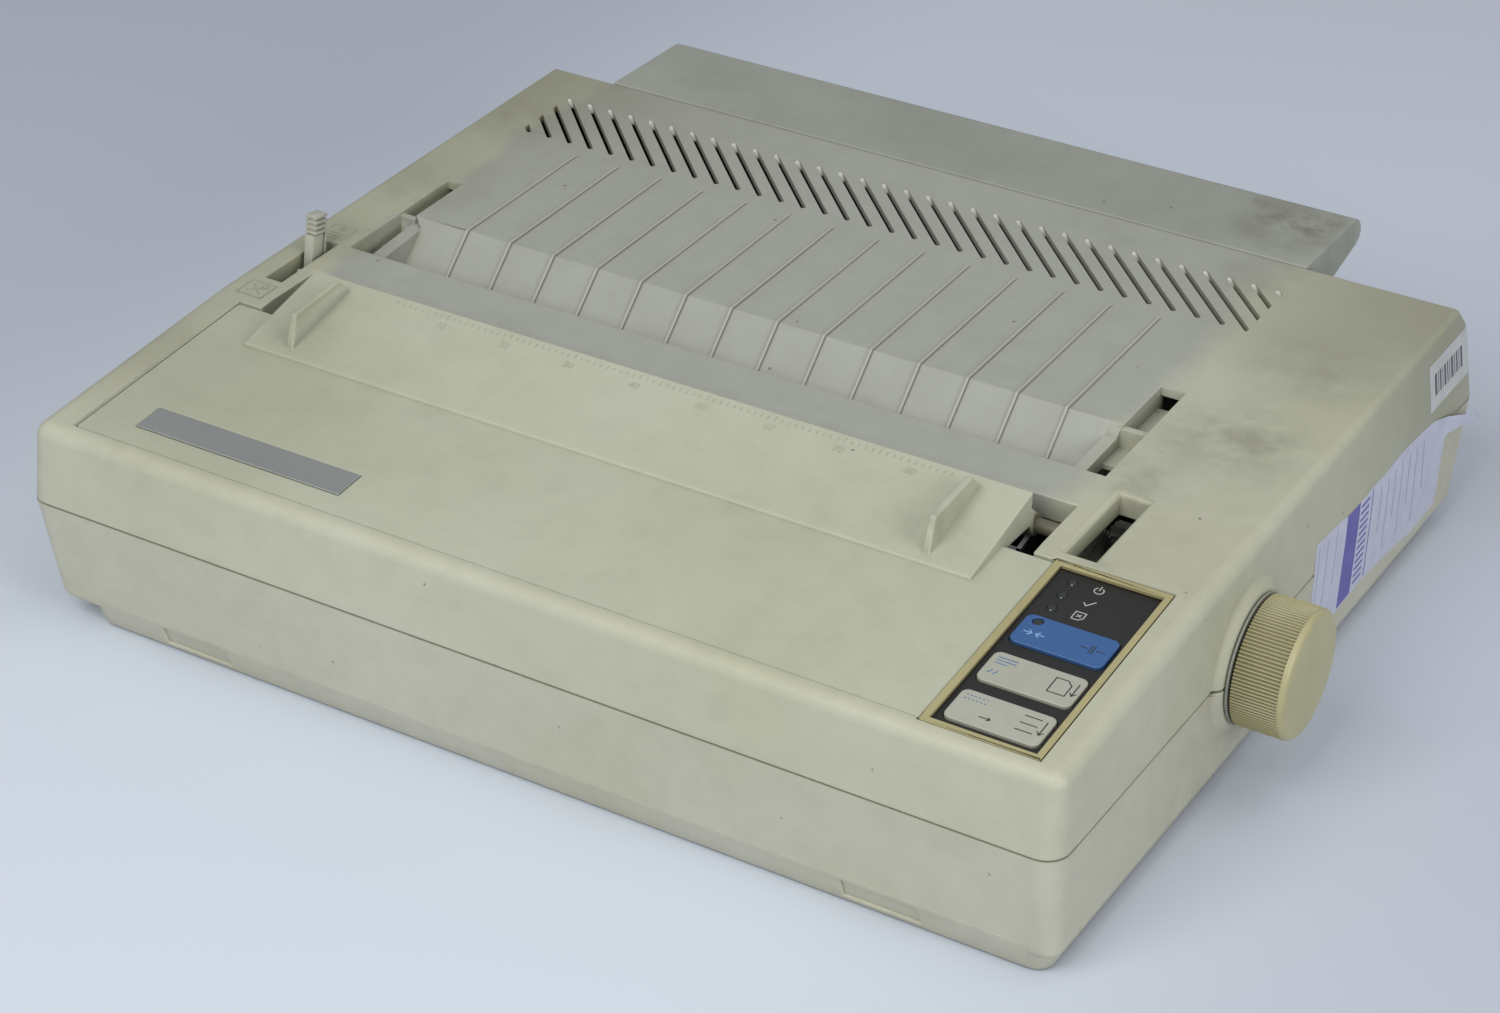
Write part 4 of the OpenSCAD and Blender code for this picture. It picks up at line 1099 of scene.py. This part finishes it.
@dataclass
class ControlPanel:
    """Ivory bezel, black printed film, three keys with pictograms, and the lamps."""

    film_top: float = -1.8
    key_top: float = -0.9
    line: float = 0.38
    ink_sink: float = 0.02
    ink_height: float = 0.06
    finishes: Optional[Finishes] = None

    def build(self) -> None:
        """Builds and dresses the panel."""
        for node, name, width, finish, slot in (
                ("control_bezel", "ivory_bezel", 0.35, "bezel", Slot.CREAM),
                ("control_overlay", "printed_film", 0.15, "film", Slot.OVERLAY),
                ("online_button", "blue_key", 0.4, "button_blue", Slot.BLUE),
                ("form_feed_button", "middle_key", 0.4, "button_grey", Slot.KEY),
                ("line_feed_button", "front_key", 0.4, "button_grey", Slot.KEY)):
            soften(node, name, width, self.finishes[finish])
        dress_node("status_lights", self.finishes["lamp"])
        dress_node("panel_board", self.finishes["board"])
        dress_node("panel_switches", self.finishes["black"])
        self.prints()

    def prints(self) -> None:
        """Prints plain pictograms where such panels carry words, in millimetres of the panel."""
        film = [circle(344.5, 88.6, 1.5, 120, 420), [(344.5, 88.8), (344.5, 90.9)],
                [(343, 81.4), (344.2, 80.1), (346.4, 83)],
                [(343, 72.6), (345.2, 72.6), (346.4, 73.8), (346.4, 76.4), (343, 76.4), (343, 72.6)],
                [(344, 74), (345.4, 75.2)], [(345.4, 74), (344, 75.2)]]
        pale = [[(334, 59.4), (336.6, 59.4)], [(338.2, 59.4), (340.8, 59.4)],
                [(335.6, 58.2), (336.8, 59.4), (335.6, 60.6)], [(339.2, 58.2), (338, 59.4), (339.2, 60.6)]]
        dark = [[(351.6, 60.6), (354.6, 60.6)], [(357, 60.6), (360, 60.6)], [(355.4, 58.6), (355.4, 62.6)],
                [(356.3, 58.6), (356.3, 62.6)]]
        fine = [[(333.6, 44.6), (340, 44.6)], [(333.6, 43.2), (340, 43.2)], [(333.6, 41.8), (337.6, 41.8)],
                [(333.8, 36.4), (334.8, 38.2)], [(335.6, 36.4), (336.6, 38.2)]]
        page = [[(352.8, 37), (352.8, 44), (356.6, 44), (358.4, 42.2), (358.4, 37), (352.8, 37)],
                [(360.2, 44), (360.2, 38)], [(359.2, 39.4), (360.2, 38), (361.2, 39.4)]]
        dots = [[(333.6 + i * 1.3, y), (334.2 + i * 1.3, y)] for i in range(6) for y in (24.6, 22.8)]
        feed = [[(352.6, 24), (358.2, 24)], [(352.6, 20.6), (358.2, 20.6)], [(352.6, 17.2), (358.2, 17.2)],
                [(360, 24), (360, 17.6)], [(359, 19), (360, 17.6), (361, 19)],
                [(341.4, 17), (345, 17)], [(344, 16.2), (345, 17), (344, 17.8)]]
        for name, runs, body, ink, slot in (
                ("film_pictograms", film, "case", "print_white", Slot.OVERLAY),
                ("blue_key_left_pictogram", pale, "blue_button", "print_pale", Slot.BLUE),
                ("blue_key_right_pictogram", dark, "blue_button", "print_black", Slot.BLUE),
                ("middle_key_left_pictogram", fine, "middle_button", "print_blue", Slot.KEY),
                ("middle_key_right_pictogram", page, "middle_button", "print_black", Slot.KEY),
                ("front_key_left_pictogram", dots, "front_button", "print_blue", Slot.KEY),
                ("front_key_right_pictogram", feed, "front_button", "print_black", Slot.KEY)):
            top = self.film_top if slot is Slot.OVERLAY else self.key_top
            outlines = [stroke_outline(run, self.line) for run in runs]
            marks(name, Deck.FRONT, top - self.ink_sink, self.ink_height, outlines, body,
                  self.finishes[ink])


@dataclass
class PaperSeparator:
    """Hinged plate behind the back edge."""

    edge_mm: float = 0.8
    finishes: Optional[Finishes] = None

    def build(self) -> None:
        """Builds and dresses the separator."""
        soften("paper_separator", "hinged_separator", self.edge_mm, self.finishes["separator"],
               3)


@dataclass
class FeedControls:
    """Platen knob with its collar, and the paper release lever."""

    knob_edge: float = 0.1
    collar_edge: float = 0.2
    lever_edge: float = 0.3
    lever_pivot: Point2 = (115.0, 45.0)
    arm_lean: float = 25.0
    grip_lean: float = 8.0
    grip_foot: Point2 = (134.8, 79.9)
    grip_x: Point2 = (15.6, 19.3)
    finishes: Optional[Finishes] = None

    def lever_box(self, foot: Point2, lean: float, x: Point2, y: Point2, z: Point2) -> list[Vector]:
        """Places one block of the lever.

        Args:
            foot: Place of the block's frame, as y and z in the case frame.
            lean: How far the block's frame leans back, in degrees.
            x: Its span across, in the case frame.
            y: Its span along, in its own frame.
            z: Its span up, in its own frame.

        Returns:
            Four bottom corners followed by four top corners.
        """
        turn = math.radians(lean)
        corners = []
        for height in z:
            for side, depth in ((x[0], y[0]), (x[1], y[0]), (x[1], y[1]), (x[0], y[1])):
                corners.append(at(side, foot[0] + depth * math.cos(turn) + height * math.sin(turn),
                                  foot[1] + height * math.cos(turn) - depth * math.sin(turn)))
        return corners

    def lever(self) -> bpy.types.Object:
        """Makes the bent release lever with its ringed grip.

        Returns:
            The lever.
        """
        left, right = self.grip_x
        pivot, foot = self.lever_pivot, self.grip_foot
        blocks = [self.lever_box(pivot, self.arm_lean, self.grip_x, (-4.0, 4.0), (3.5, 38.5)),
                  self.lever_box(pivot, self.arm_lean, (15.3, 22.9), (-6.5, 6.5), (-6.0, 6.0)),
                  self.lever_box(foot, self.grip_lean, self.grip_x, (-3.9, 1.9), (-5.0, 12.6)),
                  self.lever_box(foot, self.grip_lean, self.grip_x, (3.0, 3.9), (-5.0, 12.6)),
                  self.lever_box(foot, self.grip_lean, (left, right - 0.7), (1.9, 3.0), (-5.0, 12.6)),
                  self.lever_box(foot, self.grip_lean, (left + 0.2, right - 0.2), (-2.7, 2.7),
                                 (12.4, 19.2))]
        for ring in range(4):
            low = 12.9 + 1.9 * ring
            blocks.append(self.lever_box(foot, self.grip_lean, (left - 0.6, right + 0.6), (-3.3, 3.3),
                                         (low, low + 1.1)))
        piece = link(bpy.data.objects.new("release_lever_grip", prism_mesh("release_lever_grip", blocks)))
        bevel = piece.modifiers.new("rounding", "BEVEL")
        bevel.width = self.lever_edge * MM
        bevel.segments = 2
        settle(piece)
        smooth(piece.data)
        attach(piece, "lever")
        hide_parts("release_lever")
        return piece

    def build(self) -> None:
        """Builds and dresses the controls."""
        soften("platen_knob", "ribbed_knob", self.knob_edge, self.finishes["knob"], 1, 50.0)
        soften("knob_collar", "thin_collar", self.collar_edge, self.finishes["collar"])
        dress(self.lever(), self.finishes["lever"])


@dataclass
class Mechanism:
    """The works under the lid: carried-over CAD nodes, each with its real finish."""

    finishes: Optional[Finishes] = None
    nodes_of: dict[str, str] = field(default_factory=lambda: {
        "rubber": "platen_roller front_pinch_tyres rear_pinch_tyres bail_rollers timing_belt",
        "steel": "platen_shaft frame_screws front_pinch_shaft rear_pinch_shaft paper_bail guide_rod "
                 "drive_pulley connector_clips",
        "zinc": "base_plate left_side_frame right_side_frame paper_chute guide_rail data_connector",
        "gear": "platen_gear platen_bushes idler_gear idler_pulley",
        "black": "tractor_gear carriage ribbon_cartridge power_inlet power_switch",
        "bronze": "motor_pinion carriage_bushes", "motor": "feed_motor carriage_motor",
        "head": "print_head", "cable": "head_cable", "ribbon": "ink_ribbon", "collar": "ribbon_knob",
        "button_blue": "head_gap_lever", "board": "main_board", "chip": "board_parts",
        "core": "transformer_core", "copper": "transformer_coil", "lever": "power_rocker"})

    def build(self) -> None:
        """Dresses the inner nodes, each row of them in one finish."""
        for finish, nodes in self.nodes_of.items():
            for node in nodes.split():
                dress_node(node, self.finishes[finish])


@dataclass
class SideLabels:
    """Two plain paper labels stuck on the right side, with bars, a band and rules but no words.

    Each label is given by its upper and its lower edge, as y and z in the case frame, from its
    front end to its rear end. The rear end of the large one peels off the wall.
    """

    small_top: tuple[Point2, ...] = ((278.0, 80.7), (314.5, 81.0))
    small_low: tuple[Point2, ...] = ((285.5, 59.6), (323.0, 59.8))
    large_top: tuple[Point2, ...] = (
        (185.2, 58.4), (200.1, 57.4), (217.2, 55.5), (234.0, 56.1), (247.8, 56.0), (261.6, 56.9),
        (276.3, 55.9), (290.0, 54.6), (302.0, 51.2), (313.0, 47.3), (331.0, 39.8))
    large_low: tuple[Point2, ...] = (
        (186.5, 18.0), (200.0, 18.8), (217.0, 19.4), (235.0, 20.0), (250.0, 19.0), (265.0, 17.0),
        (281.0, 15.0), (303.4, 15.5), (301.8, 43.8), (315.0, 42.0), (331.5, 38.0))
    large_lift: tuple[float, ...] = (0, 0, 0, 0, 0, 0, 0, 0, 0.6, 2.2, 4.5)
    paper: float = 0.12
    ink: float = 0.03
    cell: float = 3.0
    ray_x: float = 420.0
    least_x: float = 375.2
    # Rays above and below each place, so that one meets the wall beside the seam of the case halves.
    ray_steps: tuple[float, ...] = (-0.6, 0.0, 0.6)
    bar_widths: tuple[float, ...] = (0.05, 0.016, 0.035, 0.014, 0.045, 0.025, 0.016, 0.05, 0.018, 0.035,
                                     0.016, 0.045)
    finishes: Optional[Finishes] = None

    def wall(self) -> BVHTree:
        """Collects both case halves for finding the wall under a label.

        Returns:
            A tree to cast rays at.
        """
        verts: list[Vector] = []
        faces: list[list[int]] = []
        for node in ("upper_case", "lower_case"):
            piece, start = frame["nodes"][node], len(verts)
            verts.extend(piece.matrix_world @ v.co for v in piece.data.vertices)
            faces.extend([start + i for i in face.vertices] for face in piece.data.polygons)
        return BVHTree.FromPolygons(verts, faces)

    @staticmethod
    def along(edge: Sequence[Point2], share: float) -> Vector:
        """Finds a place on an edge of a label, counted evenly from point to point.

        Args:
            edge: The edge's points.
            share: From 0 at its front end to 1 at its rear end.

        Returns:
            The place.
        """
        step = share * (len(edge) - 1)
        i = min(int(step), len(edge) - 2)
        return Vector(edge[i]).lerp(Vector(edge[i + 1]), step - i)

    def sheet(self, name: str, edges: tuple[Sequence[Point2], Sequence[Point2]],
              quads: Sequence[tuple[float, float, float, float]], low: float, high: float, finish: str,
              lifts: Sequence[float] = (0, 0)) -> None:
        """Lays thin sheets on the wall, each a part of a label.

        Args:
            name: Name of the piece.
            edges: The label's upper and lower edges.
            quads: For each sheet, its span along and down the label as shares from 0 to 1.
            low: Height of its underside off the wall, in millimetres.
            high: Height of its face.
            finish: Key of its finish.
            lifts: How far the label has peeled off the wall, from its front end to its rear end.
        """
        wall = self.wall()
        top, bottom = edges
        length = (Vector(top[-1]) - Vector(top[0])).length
        depth = (Vector(top[0]) - Vector(bottom[0])).length
        peel = [(lift, 0.0) for lift in lifts]
        verts: list[Vector] = []
        faces: list[tuple[int, ...]] = []
        for u0, u1, v0, v1 in quads:
            nu = max(1, round((u1 - u0) * length / self.cell))
            nv = max(1, round((v1 - v0) * depth / self.cell))
            start, row = len(verts), nv + 1
            for side in (low, high):
                for i in range(nu + 1):
                    for j in range(row):
                        u, v = u0 + (u1 - u0) * i / nu, v0 + (v1 - v0) * j / nv
                        spot = self.along(top, u).lerp(self.along(bottom, u), v)
                        curl = self.along(peel, u).x
                        hits = [wall.ray_cast(at(self.ray_x, spot.x, spot.y + step), Vector((-1, 0, 0)))[0]
                                for step in self.ray_steps]
                        x = max([self.least_x] + [hit.x / MM - CASE_SHIFT.x for hit in hits if hit])
                        verts.append(at(x + side + curl, spot.x, spot.y))
            layer = (nu + 1) * row
            for i in range(nu):
                for j in range(nv):
                    a, b = start + i * row + j, start + (i + 1) * row + j
                    faces.append((a, b, b + 1, a + 1))
                    faces.append((a + layer, a + layer + 1, b + layer + 1, b + layer))
            rim = [start + i * row for i in range(nu + 1)] + [start + nu * row + j for j in range(1, row)]
            rim += [start + i * row + nv for i in range(nu - 1, -1, -1)]
            rim += [start + j for j in range(nv - 1, 0, -1)]
            for k, a in enumerate(rim):
                b = rim[(k + 1) % len(rim)]
                faces.append((a, a + layer, b + layer, b))
        mesh = bpy.data.meshes.new(name)
        mesh.from_pydata([tuple(v) for v in verts], [], faces)
        mesh.update()
        shape = bmesh.new()
        shape.from_mesh(mesh)
        bmesh.ops.recalc_face_normals(shape, faces=shape.faces)
        shape.to_mesh(mesh)
        shape.free()
        piece = link(bpy.data.objects.new(name, mesh))
        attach(piece, "case")
        dress(piece, self.finishes[finish])

    def build(self) -> None:
        """Builds and dresses the labels."""
        small, large = (self.small_top, self.small_low), (self.large_top, self.large_low)
        under, face = self.paper - 0.02, self.paper + self.ink
        self.sheet("small_label", small, [(0, 1, 0, 1)], 0.01, self.paper, "label")
        bars, u = [], 0.12
        for width in self.bar_widths:
            bars.append((u, u + width, 0.26, 0.72))
            u += width + 0.03
        self.sheet("small_label_bars", small, bars, under, face, "label_bar")
        self.sheet("large_label", large, [(0, 1, 0, 1)], 0.01, self.paper, "label_large", self.large_lift)
        self.sheet("large_label_band", large, [(0.17, 0.235, 0.0, 0.98)], under, face, "label_band")
        stripes = [(0.243, 0.285, 0.06 + 0.075 * i, 0.09 + 0.075 * i) for i in range(12)]
        stripes.append((0.30, 0.305, 0.03, 0.97))
        self.sheet("large_label_stripes", large, stripes, under, face, "label_band")
        rules = [(0.02, 0.023, 0.05, 0.95), (0.07, 0.073, 0.05, 0.95), (0.12, 0.123, 0.05, 0.6)]
        rules += [(0.36 + 0.045 * i, 0.364 + 0.045 * i, 0.10, 0.62 + 0.24 * (i % 2)) for i in range(7)]
        self.sheet("large_label_rules", large, rules, under, face, "label_line", self.large_lift)


@dataclass
class Studio:
    """Pale paper floor, soft lights and the camera at the photograph's angle."""

    image: tuple[int, int] = (1500, 1013)
    focal_px: float = 3412.2
    centre_px: Point2 = (764.311, 508.992)
    azimuth: float = 29.752
    elevation: float = 30.738
    roll: float = 1.612
    eye: tuple[float, float, float] = (686.997, -714.041, 622.013)
    sensor_mm: float = 36.0
    floor_half: float = 6.0
    target: tuple[float, float, float] = (0.0, 0.0, 0.05)
    surround: str = "#e6ebf2"
    surround_strength: float = 0.45

    def camera(self) -> None:
        """Makes the camera from the fitted view."""
        a, e, r = (math.radians(v) for v in (self.azimuth, self.elevation, self.roll))
        right = Vector((math.cos(a), math.sin(a), 0))
        down = Vector((math.sin(a) * math.sin(e), -math.cos(a) * math.sin(e), -math.cos(e)))
        forward = Vector((-math.sin(a) * math.cos(e), math.cos(a) * math.cos(e), -math.sin(e)))
        turned = right * math.cos(r) - down * math.sin(r)
        dropped = right * math.sin(r) + down * math.cos(r)
        data = bpy.data.cameras.new("photo_camera")
        data.sensor_width = self.sensor_mm
        data.lens = self.focal_px / self.image[0] * self.sensor_mm
        data.shift_x = -(self.centre_px[0] - self.image[0] / 2) / self.image[0]
        data.shift_y = (self.centre_px[1] - self.image[1] / 2) / self.image[0]
        data.clip_start, data.clip_end = 0.01, 50.0
        camera = link(bpy.data.objects.new("photo_camera", data))
        axes = Matrix((turned, -dropped, -forward)).transposed().to_4x4()
        camera.matrix_world = Matrix.Translation(at(*self.eye)) @ axes
        bpy.context.scene.camera = camera

    def floor(self) -> None:
        """Makes the floor, a wide sheet of background paper."""
        mesh = bpy.data.meshes.new("paper_floor")
        h = self.floor_half
        mesh.from_pydata([(-h, -h, 0), (h, -h, 0), (h, h, 0), (-h, h, 0)], [], [(0, 1, 2, 3)])
        mesh.materials.append(StudioPaper().build())
        floor = link(bpy.data.objects.new("paper_floor", mesh))

    def softbox(self, name: str, place: tuple[float, float, float], size: float, power: float) -> None:
        """Hangs a square soft light that points at the object.

        Args:
            name: Name of the light.
            place: Where it hangs, in metres.
            size: Side of the square in metres.
            power: Power in watts.
        """
        data = bpy.data.lights.new(name, "AREA")
        data.shape = "SQUARE"
        data.size = size
        data.energy = power
        lamp = link(bpy.data.objects.new(name, data))
        lamp.location = place
        lamp.rotation_euler = (Vector(self.target) - lamp.location).to_track_quat("-Z", "Y").to_euler()

    def world(self) -> None:
        """Sets an even pale surrounding light."""
        world = bpy.data.worlds.new("even_surroundings")
        world.use_nodes = True
        tree = world.node_tree
        background = tree.nodes["Background"]
        background.inputs[0].default_value = linear(self.surround)
        background.inputs[1].default_value = self.surround_strength
        bpy.context.scene.world = world

    def build(self) -> None:
        """Builds the studio."""
        self.camera()
        self.floor()
        self.world()
        self.softbox("front_softbox", (-0.05, -1.2, 1.1), 0.9, 12.8)
        self.softbox("overhead_softbox", (0.6, -0.1, 1.7), 1.0, 3.5)
        self.softbox("right_softbox", (1.35, -0.55, 0.6), 0.7, 7.0)
        bpy.context.scene.view_settings.view_transform = "Standard"


def main() -> None:
    """Builds the studio and every sub-assembly, and reports each."""
    logging.basicConfig(level=logging.INFO, format="%(name)s: %(message)s")
    Studio().build()
    finishes = Finishes()
    for part in (CaseShell, FrontLid, ControlPanel, PaperSeparator, FeedControls, Mechanism, SideLabels):
        part(finishes=finishes).build()
        LOG.info("built %s", part.__name__)


if __name__ == "__main__":
    main()
